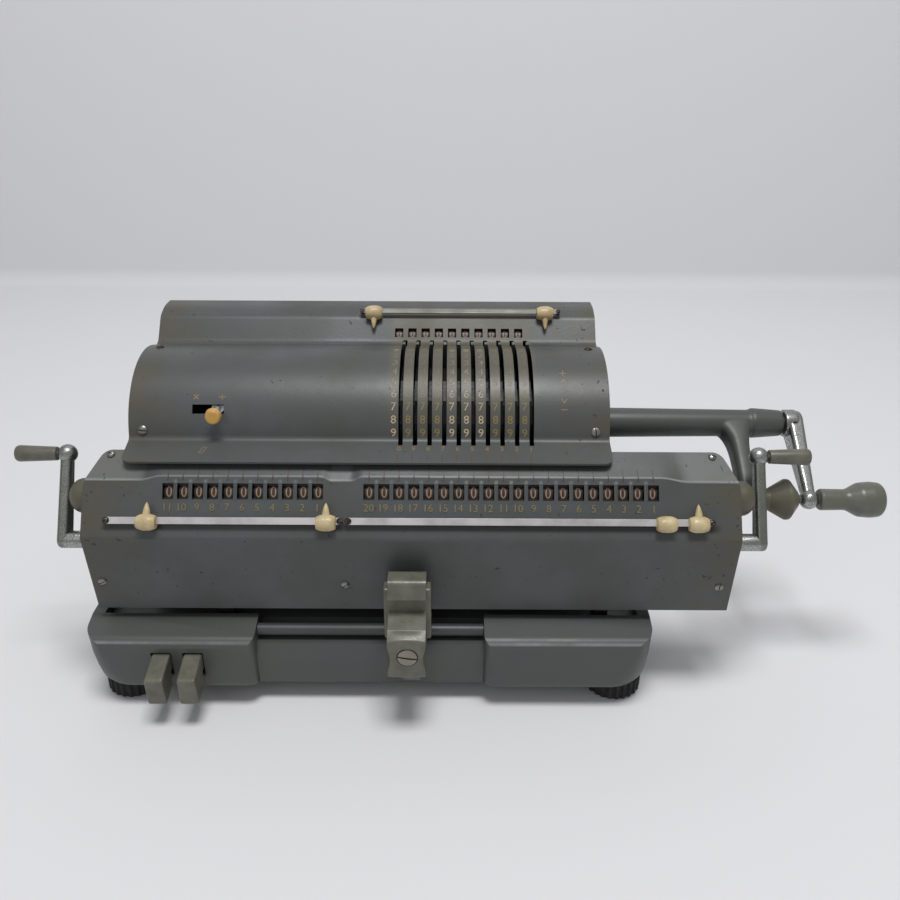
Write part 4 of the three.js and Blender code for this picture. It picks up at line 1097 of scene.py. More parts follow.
class CALC_OT_numeral_wheels(bpy.types.Operator):
    """Turns the numeral wheels of both registers and of the check dial, with all ten digits on each"""

    bl_idname = "calc.numeral_wheels"
    bl_label = "Numeral wheels"

    def execute(self, context):
        _, face_out = carriage_face()
        finishes = ["wheel_black", "wheel_brown", "cream_paint", "dark_steel"]
        for name, xs, body in (("counter", COUNTER, "counter_row"), ("result", RESULT, "result_row")):
            shape = Shape()
            low, high = [(v.x - DATUM.x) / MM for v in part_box(f"{name}_wheels")]
            shape.add(rod(high - low, 2, (low, *NUMERAL_AXIS), sides=48), 3)
            for x in xs:
                drum_wheel(shape, CARRIAGE + x, NUMERAL_AXIS, NUMERAL_RADIUS, 5.2, 3.5)
                for digit in range(10):
                    at = on_wheel(CARRIAGE + x, NUMERAL_AXIS, NUMERAL_RADIUS, face_out, digit)
                    shape.add(figure(str(digit), 5.3, at, 2.6 if digit != 1 else 0.9), 2)
            piece(
                f"{name}_numerals", shape, finishes, body, [f"{name}_wheels"], closed=False)
        _, wall_out = wall_frame()
        for i, x in enumerate(LEVERS):
            shape = Shape()
            drum_wheel(shape, x - CHECK_OFFSET, CHECK_AXIS, CHECK_RADIUS, 4, 2.9)
            for digit in range(10):
                at = on_wheel(x - CHECK_OFFSET, CHECK_AXIS, CHECK_RADIUS, wall_out, digit)
                shape.add(figure(str(digit), 3.9, at, 2.1 if digit != 1 else 0.7), 2)
            piece(
                f"check_numerals_{i + 1}", shape, finishes, f"check_{i + 1}",
                [f"check_wheel_{i + 1}"], closed=False)
        return {"FINISHED"}


# Carriage, with the raised bands round its windows and the ribs between them
BANDS = ((-122.5, -40, 9.4, 5), (-26, 123.5, 5, 13))
BAND_RISE = 0.25
BAND_FADE = 12
BEND_SLIDE = 1.9
RIB_RISE = 0.32
RIB_HALF = 1.0


def raised(x):
    """How far into a raised window band a place is, from 0 to 1."""
    best = 0
    for low, high, ramp_in, ramp_out in BANDS:
        share = min((x - low) / ramp_in, (high - x) / ramp_out) + 0.5
        share = max(0, min(1, share))
        best = max(best, share * share * (3 - 2 * share))
    return best


def carriage_line():
    return rounded([TOP_REAR, (*BEND, 2.5), (*NOSE, 3), BOTTOM], 8)


def on_side(side, value):
    """The x of a place this far from the carriage's middle, on its left (-1) or its right (1)."""
    return CARRIAGE + side * value


def corner_inset(y):
    """How far the slanted rear corner has come in from the end of the carriage."""
    cut, depth = CORNER_CUT
    return cut * max(0, y - TOP_REAR[0] + depth) / depth


def carriage_sheet():
    """Presses the sheet with its two rows of windows."""
    line = carriage_line()
    lengths = lengths_of(line)
    down, out = carriage_face()
    middle_s = station(line, lengths, step(BEND, down, WINDOW_DOWN))
    bend_s = station(line, lengths, BEND)
    high = (middle_s - WINDOW[1] / 2, middle_s + WINDOW[1] / 2)
    holes = [(x - WINDOW[0] / 2, x + WINDOW[0] / 2, *high) for x in COUNTER + RESULT]
    ribs = [(a + b) / 2 for row in (COUNTER, RESULT) for a, b in zip(row, row[1:])]
    inner = CARRIAGE_HALF - 14
    must = [v for hole in holes for v in hole[:2]] + ribs + [-CARRIAGE_HALF, CARRIAGE_HALF, -inner, inner]
    columns = spread(must, [x * 1.5 for x in range(-100, 100)], 0.5)
    near_bend = [bend_s + k for k in range(-9, 24)]
    rows = spread([0, lengths[-1], *high], lengths + [0.3, 0.9, 1.8, 2.8] + near_bend, 0.25)

    def at(i, x, s):
        y, z = point_at(line, lengths, s)
        share = s / bend_s if s < bend_s else max(0, 1 - ((s - bend_s) / BAND_FADE) ** 2) ** 1.5
        slide, push = BEND_SLIDE * (1 - raised(x)) * share, BAND_RISE * raised(x) * share
        if high[0] - 0.6 < s < high[1] + 0.6:
            push += RIB_RISE * max(0, 1 - (min(abs(x - rib) for rib in ribs) / RIB_HALF) ** 2)
        y, z = y + down[0] * slide + out[0] * push, z + down[1] * slide + out[1] * push
        if abs(x) > inner:
            limit = CARRIAGE_HALF - corner_inset(y)
            if s < CORNER_ROUND:
                limit -= CORNER_ROUND - math.sqrt(CORNER_ROUND ** 2 - (CORNER_ROUND - s) ** 2)
            share = (abs(x) - inner) / (CARRIAGE_HALF - inner)
            x = math.copysign(inner + share * (limit - inner), x)
        return (CARRIAGE + x, y, z)

    verts, faces, _ = grid(columns, rows, holes, at, reverse=True)
    cover = piece(
        "carriage_sheet", Shape().add((verts, faces)), ["carriage_enamel"], "carriage",
        ["carriage_cover"], closed=False)
    press(cover, SHEET)


def window_masks():
    """Near-black strips behind the rows of windows and at the ends of each row: painted shade."""
    down, out = carriage_face()
    mask = Shape()
    up = (-down[0], -down[1])
    for xs in (COUNTER, RESULT):
        for k in (-1, 1):
            at_plane = step(step(BEND, down, WINDOW_DOWN + k * 3.9), out, -1.6)
            strip = oblong(at_plane, up, out, (-1.1, 1.1), (-0.12, 0.12))
            mask.add(slab(strip, CARRIAGE + xs[-1] - 4, CARRIAGE + xs[0] + 4))
        for x, way in ((xs[0], 1), (xs[-1], -1)):
            near, far = sorted((CARRIAGE + x + way * 3.2, CARRIAGE + x + way * 3.8))
            mask.add(slab(oblong(NUMERAL_AXIS, out, up, (2.6, 8.5), (-6, 6)), near, far))
    piece("window_masks", mask, ["mask"], "carriage")


def carriage_screws():
    """Puts in the screws below the front edge and at the rear corners."""
    screws = Shape()
    drop = unit(NOSE, BOTTOM)
    face_normal = (0, drop[1], -drop[0])
    for x, back in ((-148.8, 26), (-32.4, 27.3), (147.6, 27.8)):
        fasten(screws, (CARRIAGE + x, *step(NOSE, drop, back)), face_normal, 2.0, 0.55, turn=x)
    top = unit(TOP_REAR, BEND)
    for x in (-143.4, 142.6):
        fasten(screws, (CARRIAGE + x, *step(TOP_REAR, top, 2.6)), (0, top[1], -top[0]), 1.9, 0.6, turn=x)
    piece("carriage_screws", screws, ["nickel", "mask"], "carriage", sharp=30)


class CALC_OT_carriage_cover(bpy.types.Operator):
    """Presses the carriage cover with its two rows of windows and the raised bands round them"""

    bl_idname = "calc.carriage_cover"
    bl_label = "Carriage cover"

    def execute(self, context):
        carriage_sheet()
        window_masks()
        carriage_screws()
        return {"FINISHED"}


class CALC_OT_carriage_figures(bpy.types.Operator):
    """Fills the place numbers and the ticks over the windows of the carriage"""

    bl_idname = "calc.carriage_figures"
    bl_label = "Carriage figures"

    def execute(self, context):
        down, _ = carriage_face()
        up = (-down[0], -down[1])
        top = unit(BEND, TOP_REAR)
        height = sizes().place_number / MM
        numbers, ticks = Shape(), Shape()
        for xs in (COUNTER, RESULT):
            for i, x in enumerate(xs):
                centre = step(BEND, down, FIGURES_DOWN)
                lift = 0.1 + 0.25 * raised(x) if raised(x) > 0.5 else 0.06
                numbers.add(figure(str(i + 1), height, on_plane(CARRIAGE + x, centre, up, lift)))
                ticks.add(stroke([(0, -0.1), (0, 4.4)], 0.42, on_plane(CARRIAGE + x, BEND, top, 0.33)))
                hook = [(-0.4, -2.1), (0, -1.5), (0, 0.1)]
                ticks.add(stroke(hook, 0.5, on_plane(CARRIAGE + x, BEND, up, 0.33)))
        piece("place_numbers", numbers, ["bronze_fill"], "carriage", closed=False)
        piece("place_ticks", ticks, ["red_fill"], "carriage", closed=False)
        return {"FINISHED"}


def end_plate(side, name, inside):
    """The flat plate that closes one end up to the shelf."""
    low = [p for p in inside if p[1] < END_SHELF]
    low += [(-50, BOTTOM[1]), (END_REAR, NUMERAL_AXIS[1] - 16), (END_REAR, END_SHELF)]
    faces = sorted(on_side(side, v) for v in (CARRIAGE_END - 3, CARRIAGE_END))
    piece(
        f"{name}_end_plate", Shape().add(slab(low, *faces)), ["carriage_enamel"], "carriage",
        [f"carriage_{name}_end"], bevel=0.3)


def end_corner(side, name, inside):
    """The slanted wall of a rear corner, with the ledge beside it."""
    slant = [p for p in inside if p[1] >= END_SHELF and p[0] <= END_REAR]
    rings = []
    for y, z in slant:
        edge = CARRIAGE_END - corner_inset(y) - 0.3
        section = ((0, z), (0, END_SHELF - 1), (SHEET, END_SHELF - 1), (SHEET, z))
        rings.append([(on_side(side, edge - back), y, height) for back, height in section])
    wall = Shape().add(loft(rings))
    outer, inner = on_side(side, CARRIAGE_END), on_side(side, CARRIAGE_END - CORNER_CUT[0])
    ledge = [(outer, slant[-1][0]), (outer, END_REAR), (inner, END_REAR)]
    wall.add(column(ledge, END_SHELF - 1, END_SHELF - 0.1))
    piece(f"{name}_end_corner", wall, ["carriage_enamel"], "carriage")


def end_cap(side, name):
    """The round cap over the axle of the numeral wheels."""
    radius = DOME_RADIUS - 0.05
    profile = [(-0.8, 0), (-0.8, radius)]
    for i in range(12):
        angle = math.pi * i / 24
        rise = DOME_SHOULDER + (DOME_HEIGHT - DOME_SHOULDER) * math.sin(angle)
        profile.append((0.3 + rise, radius * math.cos(angle)))
    profile.append((0.3 + DOME_HEIGHT, 0))
    cap = Shape().add(lathe(profile, (on_side(side, CARRIAGE_END), *DOME_AXIS), (side, 0, 0), 56))
    piece(f"{name}_end_cap", cap, ["cap_paint"], "carriage", sharp=50)


class CALC_OT_carriage_ends(bpy.types.Operator):
    """Closes the carriage with its end plates and their round caps"""

    bl_idname = "calc.carriage_ends"
    bl_label = "Carriage ends"

    def execute(self, context):
        line = carriage_line()
        inside = []
        for i, p in enumerate(line):
            way = unit(line[max(0, i - 1)], line[min(len(line) - 1, i + 1)])
            inside.append(step(p, (-way[1], way[0]), 1.5))
        for side, name in ((-1, "left"), (1, "right")):
            end_plate(side, name, inside)
            end_corner(side, name, inside)
            end_cap(side, name)
        return {"FINISHED"}


# Pointer rails
def rail_frame(kind):
    """The middle of a rail's strip and its up and out directions."""
    if kind == "top":
        up, out = wall_frame()
        crest = step(on_arc(DRUM, VALLEY_ANGLE), up, WALL_LENGTH)
        return step(step(crest, up, 2.2), out, 2.4), up, out
    down, out = carriage_face()
    return step(step(BEND, down, RAIL_DOWN), out, 2.4), (-down[0], -down[1]), out


def strip_with_posts(shape, screws, kind, x0, x1, height, post):
    """A strip with round ends on two posts, each with a screw on a dark washer, a ring of painted shadow
    round its head.
    """
    centre, up, out = rail_frame(kind)
    half = height / 2
    corner = half * 0.98
    corners = ((x0, -half), (x1, -half), (x1, half), (x0, half))
    outline = rounded([(x, v, corner) for x, v in corners], 8, True)
    shape.add(loft([
        [(x, *step(step(centre, up, v), out, lift)) for x, v in outline] for lift in (-0.4, 0.4)]))
    for x in (x0 + half * 0.95, x1 - half * 0.95):
        shape.add(rod(post, 1.2, (x, *centre), (0, -out[0], -out[1])))
        screws.add(rod(0.25, corner, (x, *step(centre, out, 0.35)), (0, *out)), 1)
        fasten(screws, (x, *step(centre, out, 0.6)), (0, *out), half * 0.72, 0.5, turn=x)


def ivory_pointer(kind, x, size, tip_way, tipped=True):
    """A turned slider on its rail, with or without its tip."""
    width, centre_radius, end_radius, reach, tip_radius = size
    centre, up, out = rail_frame(kind)
    half = width / 2
    axis = step(step(centre, out, 0.3), up, -1.2) if kind == "top" else step(step(centre, out, 1.0), up, -0.8)
    left = [
        (-half, 0), (-half, end_radius, 0.5), (-half * 0.62, centre_radius * 0.93, 0.9),
        (-half * 0.3, centre_radius, 1.5),
    ]
    right = [(-along, *rest) for along, *rest in reversed(left)]
    shape = Shape().add(turned(left + right, (x, *axis), sides=40))
    if tipped:
        start = step(axis, up, tip_way * (centre_radius - 1.2))
        long = reach + 0.6
        shares = ((0, 1.3), (0.3, 1.12), (0.6, 0.82), (0.85, 0.45))
        tip = [(0, 0), *((long * along, tip_radius * wide) for along, wide in shares), (long, 0)]
        shape.add(lathe(tip, (x, *step(start, out, 0.3)), (0, up[0] * tip_way, up[1] * tip_way), 24))
    return shape


class CALC_OT_pointers(bpy.types.Operator):
    """Fixes the pointer rails on their posts and threads the ivory pointers on them"""

    bl_idname = "calc.pointers"
    bl_label = "Rails and pointers"

    def execute(self, context):
        for kind, name, ends, height, post, steel, body in (
            ("top", "top", (-9.3, 97.1), 2.7, 2.4, "dull_strip", "root"),
            ("low", "counter", (CARRIAGE - 142.8, CARRIAGE - 31.4), 3.3, 2.1, "bright_steel", "carriage"),
            ("low", "result", (CARRIAGE - 30.8, CARRIAGE + 140.8), 3.3, 2.1, "bright_steel", "carriage"),
        ):
            strip, screws = Shape(), Shape()
            strip_with_posts(strip, screws, kind, *ends, height, post)
            piece(
                f"{name}_rail_strip", strip, [steel], body, [f"{name}_pointer_rail"],
                bevel=0.12, steps=2)
            piece(f"{name}_rail_screws", screws, ["rusty_screw", "mask"], body, sharp=30)
        low = (9.1, 3.9, 2.9, 6.1, 1.5)
        for i, x in enumerate((-122.2, -39.4, 118, 132.8)):
            shape = ivory_pointer("low", CARRIAGE + x, low, 1, i != 2)
            piece(
                f"ivory_pointer_{i + 1}", shape, ["ivory"], f"pointer_{i + 1}",
                [f"decimal_pointer_{i + 1}"], sharp=50)
        top = (8.6, 3.8, 2.8, 6.3, 1.3)
        for i, x in enumerate((-1.7, 88.6)):
            shape = ivory_pointer("top", x, top, -1)
            piece(
                f"ivory_top_pointer_{i + 1}", shape, ["ivory"], f"top_pointer_{i + 1}",
                [f"top_pointer_{i + 1}"], sharp=50)
        return {"FINISHED"}


class CALC_OT_clearing_cranks(bpy.types.Operator):
    """Forges the clearing cranks and turns their grips"""

    bl_idname = "calc.clearing_cranks"
    bl_label = "Clearing cranks"

    def execute(self, context):
        plate, thick, ball_radius = CLEAR_PLATE, 5.4, 4.6
        centre = plate + thick / 2
        start = centre + ball_radius + 0.3
        for side, name in ((-1, "counter"), (1, "result")):
            way = (side, 0, 0)
            outline = band_round([(*CLEAR_PIVOT, 4.2), (*CLEAR_BALL, 2.9)])
            arm = Shape().add(slab(outline, *sorted(on_side(side, v) for v in (plate, plate + thick))))
            piece(
                f"{name}_crank_arm", arm, ["clear_chrome"], f"{name}_clear",
                [f"{name}_clear_crank"], bevel=1.7, steps=5)
            parts = Shape()
            parts.add(ball((on_side(side, centre), *CLEAR_BALL), ball_radius, way))
            reach = plate - CARRIAGE_HALF + 2
            hub = [(0, 0), (0, 4.2, 0.6), (reach, 4.2), (reach, 0)]
            parts.add(turned(hub, (on_side(side, CARRIAGE_HALF + 0.3), *CLEAR_PIVOT), way, 40))
            parts.add(rod(7, 2.2, (on_side(side, CARRIAGE_HALF - 6), *CLEAR_PIVOT), way))
            piece(f"{name}_crank_knob", parts, ["chrome"], f"{name}_clear")
            grip = Shape().add(turned([
                (-4.5, 0), (-4.5, 1.4), (0, 1.4), (0, 3.35, 0.3), (18.3, 4.05, 0.8), (19.7, 3.6, 0.8),
                (19.7, 0),
            ], (on_side(side, start), *CLEAR_BALL), way, 40))
            piece(
                f"{name}_crank_grip", grip, ["olive_plastic"], f"{name}_clear",
                [f"{name}_clear_grip"])
        return {"FINISHED"}


def crank_bracket():
    """Casts the tube and the arm in one, with soft fillets, and turns the cone at the arm's end."""
    arm_at, end_at = TUBE_RING - TUBE_START, TUBE_END - TUBE_START
    bracket = Shape().add(turned([
        (0, 0), (0, 7.8), (4.2, 7.8), (arm_at, 6.9), (arm_at + 1.8, 7.9, 1.2), (end_at, 6.7, 0.8),
        (end_at, 0),
    ], (TUBE_START, 0, 0), sides=64))
    way = unit((0, 0), CRANK_BALL)
    across = (-way[1], way[0])
    long = math.hypot(*CRANK_BALL)
    sections = []
    for share in [i / 24 for i in range(25)]:
        distance = long * share
        from_tube = max(0, distance - 4)
        flare = 5.5 * math.exp(-from_tube / 5.2)
        wide = 4.3 + flare
        thick = 6.1 - 0.7 * share + 2.2 * math.exp(-from_tube / 6)
        centre = step((0, 0), way, distance)
        ring = []
        for i in range(32):
            angle = 2 * math.pi * i / 32
            c, s = math.cos(angle), math.sin(angle)
            u = math.copysign(abs(c) ** 0.62, c) * wide
            v = math.copysign(abs(s) ** 0.62, s) * min(thick, 6.6)
            ring.append((BRACKET_ARM - 1.2 * math.exp(-from_tube / 5) + u, *step(centre, across, v)))
        sections.append(ring)
    bracket.add(loft(sections))
    cone = Shape().add(turned([
        (0, 0), (0, 5.1), (9.2, 5.3, 2), (17.8, 10.2, 0.7), (19.4, 10.2, 0.9), (24.1, 4.2, 0.4),
        (24.1, 0),
    ], (BRACKET_ARM, *CRANK_BALL), sides=56, steps=8))
    piece("crank_stop_cone", cone, ["cap_paint"], "root", sharp=50)
    body = piece(
        "crank_bracket_casting", bracket, ["bracket_paint"], "root", ["crank_bracket"])
    melt = body.modifiers.new("one_casting", "REMESH")
    melt.mode = "VOXEL"
    melt.voxel_size = 0.62 * MM
    soft = body.modifiers.new("fillets", "SMOOTH")
    soft.factor = 0.5
    soft.iterations = 5
    settle(body, 60)


def crank_arm(start):
    """Forges the arm, with its hub and the ball that carries the grip."""
    centre = start + 4.75 + 0.6
    outline = band_round([(0, 0, 6.5), (*CRANK_BALL, 3.3)])
    arm_verts, arm_faces = slab(outline, -1, 1)
    tapered = [
        (centre + side * (4.3 - 1.4 * min(1, math.hypot(y, z) / math.hypot(*CRANK_BALL))), y, z)
        for side, y, z in arm_verts
    ]
    arm = Shape().add((tapered, arm_faces))
    piece("crank_arm_forging", arm, ["chrome"], "rotor", ["crank_arm"], bevel=2.2, steps=5)
    knobs = Shape()
    hub = [(0, 0), (0, 7.1, 0.8), (6.4, 7.1, 2.6), (9.5, 4, 0.6), (9.5, 0)]
    knobs.add(turned(hub, (start, 0, 0), sides=56))
    knobs.add(ball((centre, *CRANK_BALL), 4.9))
    pin = [(0, 0), (0, 1.5), (0.6, 1.3), (0.6, 0)]
    pin_at = step((0, 0), unit((0, 0), (-0.9, 0.35)), 6.8)
    knobs.add(lathe(pin, (start + 4.4, *pin_at), (0, -0.93, 0.36), 20), 1)
    piece("crank_hub_and_ball", knobs, ["chrome", "rusty_screw"], "rotor")


def crank_grip(start):
    """Turns the grip, whose neck stands in the ball."""
    neck = start + 9.8 + 0.3
    grip = Shape().add(turned([
        (start + 0.2 - neck, 0), (start + 0.2 - neck, 2.1), (0, 2.1), (0, 4.9, 0.4), (1, 5.4, 0.5),
        (13.2, 5.2, 6), (19.2, 8.5, 5), (25, 9.05, 8), (31.2, 8.4, 3), (31.2, 0),
    ], (neck, *CRANK_BALL), sides=64, steps=8))
    piece("crank_grip_turning", grip, ["grip_plastic"], "grip", ["crank_grip"])


class CALC_OT_main_crank(bpy.types.Operator):
    """Casts the crank bracket, forges the crank arm and turns its grip"""

    bl_idname = "calc.main_crank"
    bl_label = "Main crank"

    def execute(self, context):
        start = TUBE_END + 0.9
        crank_bracket()
        crank_arm(start)
        crank_grip(start)
        return {"FINISHED"}


# Base
def base_casting():
    """Casts the body with its low bar, sloping front edge and slots for the keys."""
    half, front, rear = 138.5, -82.5, 72
    top, bottom = -75.5, -108.7
    inner, bar = 56, -77
    rings = []
    for level, corner, inset in (
        (bottom, 19, 2.6), (bottom + 1.2, 18.5, 1.2), (bottom + 3.6, 17.5, 0.3),
        (-99, 15, 0), (-90, 12, 0), (top, 10.5, 0),
    ):
        side, ahead, behind = half - inset, front + inset, rear - inset
        ring = rounded([
            (-side, behind, corner), (-side, ahead, corner), (-inner, ahead, 5), (-inner, bar, 1),
            (inner, bar, 1), (inner, ahead, 5), (side, ahead, corner), (side, behind, corner),
        ], 10, True)
        rings.append([(x, y, level) for x, y in ring])
    casting = piece(
        "base_body", Shape().add(loft(rings)), ["base_enamel"], "root", ["base_casting"])
    bar_rear = bar + 17
    bar_outline = rounded(
        [(-inner, -95), (inner, -95), (inner, bar_rear, 2), (-inner, bar_rear, 2)], 4, True)
    carve(casting, [column(bar_outline, top - 10.5, top + 4)])
    casting.modifiers.clear()
    soften(casting, 3.8, 6, 50)
    settle(casting, 35)
    # The hollow underneath, the slope of the front edge, the carriage's channel, the bar and the keys' slots
    tools = [
        box(-107.9, 107.9, -68, 63, bottom - 2, -87.5),
        box(-129.5, 129.5, -47.4, 37.4, bottom - 2, -87.5),
    ]
    slope = rounded([(-65, top), (front, -79.7, 5.6), (front - 0.02, -84)], 8)
    slope += [(front - 2, -84), (front - 2, top + 2), (-65, top + 2)]
    tools.append(slab(slope, -half - 2, half + 2))
    tools.append(box(-half + 6, half - 6, -65, -42, top - 6, top + 2))
    tools.append(slab([(-74.6, -85), (-74.6, -85.4), (-78, -94), (-80, -94), (-80, -85)], -inner, inner))
    for x in KEYS:
        tools.append(box(x - 5, x + 5, front - 2, -59, -100, -86))
    carve(casting, tools)


def front_rail():
    """The round rail that the carriage slides on."""
    rail = Shape().add(rod(111.4, 3, (-55.7, -70, -81), sides=40))
    piece("front_rail_rod", rail, ["rod_paint"], "root", ["front_rail"])


def rubber_foot(node):
    """Moulds a serrated foot."""
    at = from_datum(node)
    low, high = [(v.z - DATUM.z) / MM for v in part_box(node)]
    rings = []
    for level, shrink in ((low, 1.6), (low + 1.2, 0.3), (high - 1, 0.3), (high, 1.0)):
        ring = []
        for i in range(144):
            angle = 2 * math.pi * i / 144
            tooth = 0.9 if (i // 3) % 2 else 0
            radius = 14.7 - shrink - (tooth if 0.2 < shrink < 0.5 else 0.4)
            ring.append((at.x + radius * math.cos(angle), at.y + radius * math.sin(angle), level))
        rings.append(ring)
    piece(f"rubber_{node}", Shape().add(loft(rings)), ["rubber"], "root", [node], sharp=25)


class CALC_OT_base(bpy.types.Operator):
    """Casts the base with its notched front, and sets it on serrated rubber feet with the carriage's rail"""

    bl_idname = "calc.base"
    bl_label = "Base and feet"

    def execute(self, context):
        base_casting()
        front_rail()
        for node in ("foot_front_left", "foot_front_right", "foot_rear_left", "foot_rear_right"):
            rubber_foot(node)
        return {"FINISHED"}


def handle_moulding(x0):
    """Moulds the handle with its waist, its hollow and the crown of its grip."""
    profile = rounded([step(HANDLE_PIN, p) + tuple(p[2:]) for p in (
        (2, 32.4), (-4, 32.4, 3), (-6.5, 23.4, 1.5), (-2, 20.4, 1), (-1.5, 15.4, 2), (-13, 11.9, 3),
        (-18.3, 8.9, 1.6), (-18.3, -11.8, 2), (-6.5, -12.2, 1), (-5, -4.6), (4.4, -3.1), (6, 13.4),
        (5.8, 32.4, 2),
    )], 5, True)
    line = []
    for a, b in zip(profile, profile[1:] + profile[:1]):
        cuts = max(1, int(math.dist(a, b) / 1.6))
        line += [step(a, step(b, a, -1), k / cuts) for k in range(cuts)]
    stations = []
    for share in [i / 6 for i in range(-6, 7)]:
        ring = []
        for y, z in line:
            wide = 8.9 - 1.3 * math.exp(-((z + 74.5) / 5) ** 2) if y < -92 else 8.9
            crown = 1 - share * share
            rise = crown * math.exp(-((z + 64.5) / 3) ** 2) if y < -96 else 0
            dip = crown * 0.6 * math.exp(-((z + 85.5) / 3) ** 2) if y < -90 else 0
            ring.append((x0 + share * wide, y, z + rise - dip))
        stations.append(ring)
    handle = piece(
        "release_handle_moulding", Shape().add(loft(stations)), ["olive_plastic"], "release",
        ["release_handle"])
    carve(handle, [
        box(x0 - 3.3, x0 + 3.3, -88, -70, -92, -67), box(x0 - 4.3, x0 + 4.3, -95.3, -91.9, -92, -75.9)])
    soften(handle, 1.2, 3, 50)
    handle.modifiers.move(1, 0)


def handle_cheeks(x0):
    """The wide part that stands against the carriage."""
    flange = Shape()
    outline = rounded([step(HANDLE_PIN, p) + tuple(p[2:]) for p in (
        (-2.5, 27, 2), (-3, 0, 2), (-1, -2.5, 1), (4, -2.5, 1), (5.6, 13, 1), (5.4, 27, 2))], 4, True)
    flange.add(slab(outline, x0 - 11.1, x0 + 11.1))
    piece("release_handle_cheeks", flange, ["olive_plastic"], "release", bevel=0.8)


def handle_screw(x0):
    """The wide screw in its dark seat, a ring of painted shadow."""
    head = Shape()
    fasten(head, (x0 + 0.4, -100.3, -73), (0, -1, 0), 4.5, 0.14, 0.2, turn=1.42, depth=0.4)
    seat = [(0, 4.4), (0.15, 4.5), (0.15, 5.0), (0, 5.1)]
    head.add(lathe(seat, (x0 + 0.4, -100.28, -73), (0, -1, 0), 40), 1)
    piece("release_handle_screw", head, ["knob_screw", "mask"], "release", sharp=30)


class CALC_OT_release_handle(bpy.types.Operator):
    """Moulds the handle that frees the carriage, with its screw and latch"""

    bl_idname = "calc.release_handle"
    bl_label = "Release handle"

    def execute(self, context):
        x0 = CARRIAGE + sizes().handle_shift / MM
        handle_moulding(x0)
        handle_cheeks(x0)
        handle_screw(x0)
        dress("release_latch", "dark_steel")
        return {"FINISHED"}


class CALC_OT_keys(bpy.types.Operator):
    """Moulds the two shift keys"""

    bl_idname = "calc.keys"
    bl_label = "Shift keys"

    def execute(self, context):
        front, top = -97.6, -87
        shoulder, foot = top - 3.7, -106.4
        for x, name in zip(KEYS, ("left", "right")):
            outline = rounded([
                (-60, -89.5), (-83.5, top, 3), (front, shoulder, 2), (front + 0.6, foot, 2),
                (-85.1, foot + 2.5, 1), (-83.7, -96.5), (-60, -95.5),
            ], 5, True)
            key = Shape().add(slab(outline, x - 4.4, x + 4.4))
            piece(
                f"shift_key_{name}_moulding", key, ["olive_plastic"], f"key_{name}",
                [f"shift_key_{name}"], bevel=1.2, steps=4)
        return {"FINISHED"}


class CALC_OT_count_switch(bpy.types.Operator):
    """Turns the knob of the count switch"""

    bl_idname = "calc.count_switch"
    bl_label = "Count switch"

    def execute(self, context):
        height = on_arc(DRUM - 0.6, SWITCH_ANGLE)[1]
        back = -math.sqrt((DRUM - 2.7) ** 2 - height ** 2)
        reach = back - on_arc(DRUM, SWITCH_ANGLE)[0] + 8
        out = (0, *unit((0, 0), (back, height)))
        shape = Shape()
        shape.add(rod(reach, 1.2, (SWITCH_X, back, height), (0, -1, 0)), 2)
        shape.add(lathe([(-0.5, 0), (-0.5, 3.1), (0.5, 3.1), (0.5, 0)], (SWITCH_X, back, height), out, 24), 2)
        rim = [(-1.8, 0), (-1.8, 4.05, 0.6), (1.7, 3.35, 0.8), (1.7, 0)]
        shape.add(turned(rim, (SWITCH_X, back - reach, height), (0, -1, 0), 48), 0)
        face = [(1.6, 0), (1.6, 2.7), (1.8, 2.5), (1.8, 0)]
        shape.add(lathe(face, (SWITCH_X, back - reach, height), (0, -1, 0), 40), 1)
        piece("count_switch_turning", shape, ["amber_rim", "amber", "bright_steel"],
              "count_switch", ["count_switch_knob"])
        return {"FINISHED"}


class CALC_OT_inside(bpy.types.Operator):
    """Finishes the frame nodes that stay: side plates, shafts, rotor, levers and the carriage bed"""

    bl_idname = "calc.inside"
    bl_label = "Inside"

    def execute(self, context):
        for node in ("left_side_frame", "right_side_frame"):
            dress(node, "frame_steel")
        for node in ("main_shaft", "check_shaft", "carriage_bed"):
            dress(node, "dark_steel")
        # The rotor and the levers are painted near black, the shade inside the lever slots.
        dress("pinwheel_rotor", "lever_steel")
        dress("transfer_gears", "gear_brass")
        for i in range(10):
            dress(f"setting_lever_{i + 1}", "lever_steel")
        return {"FINISHED"}


def pale_backdrop():
    """A sheet of matt paper that sweeps up behind the machine."""
    floor_z = CAD_BOX[0].z
    back = place(0, 675, 0).y
    sweep = rounded([(-2.2, floor_z), (back, floor_z, 0.02), (back, 2.2)], 8)
    verts = [(x, y, z) for x in (-3.5, 3.5) for y, z in sweep]
    count = len(sweep)
    faces = [(i, i + 1, count + i + 1, count + i) for i in range(count - 1)]
    mesh = bpy.data.meshes.new("backdrop")
    mesh.from_pydata(verts, [], faces)
    for polygon in mesh.polygons:
        polygon.use_smooth = True
    # Matt paper: pale, even and without gloss
    paper = bpy.data.materials.new("matt_paper")
    paper.use_nodes = True
    tree = paper.node_tree
    connect(tree, tree.nodes["Principled BSDF"], {
        "Base Color": rgba("#e0e0e2"), "Roughness": 0.9, "Specular IOR Level": 0.2})
    mesh.materials.append(paper)
    backdrop = link("backdrop", mesh)


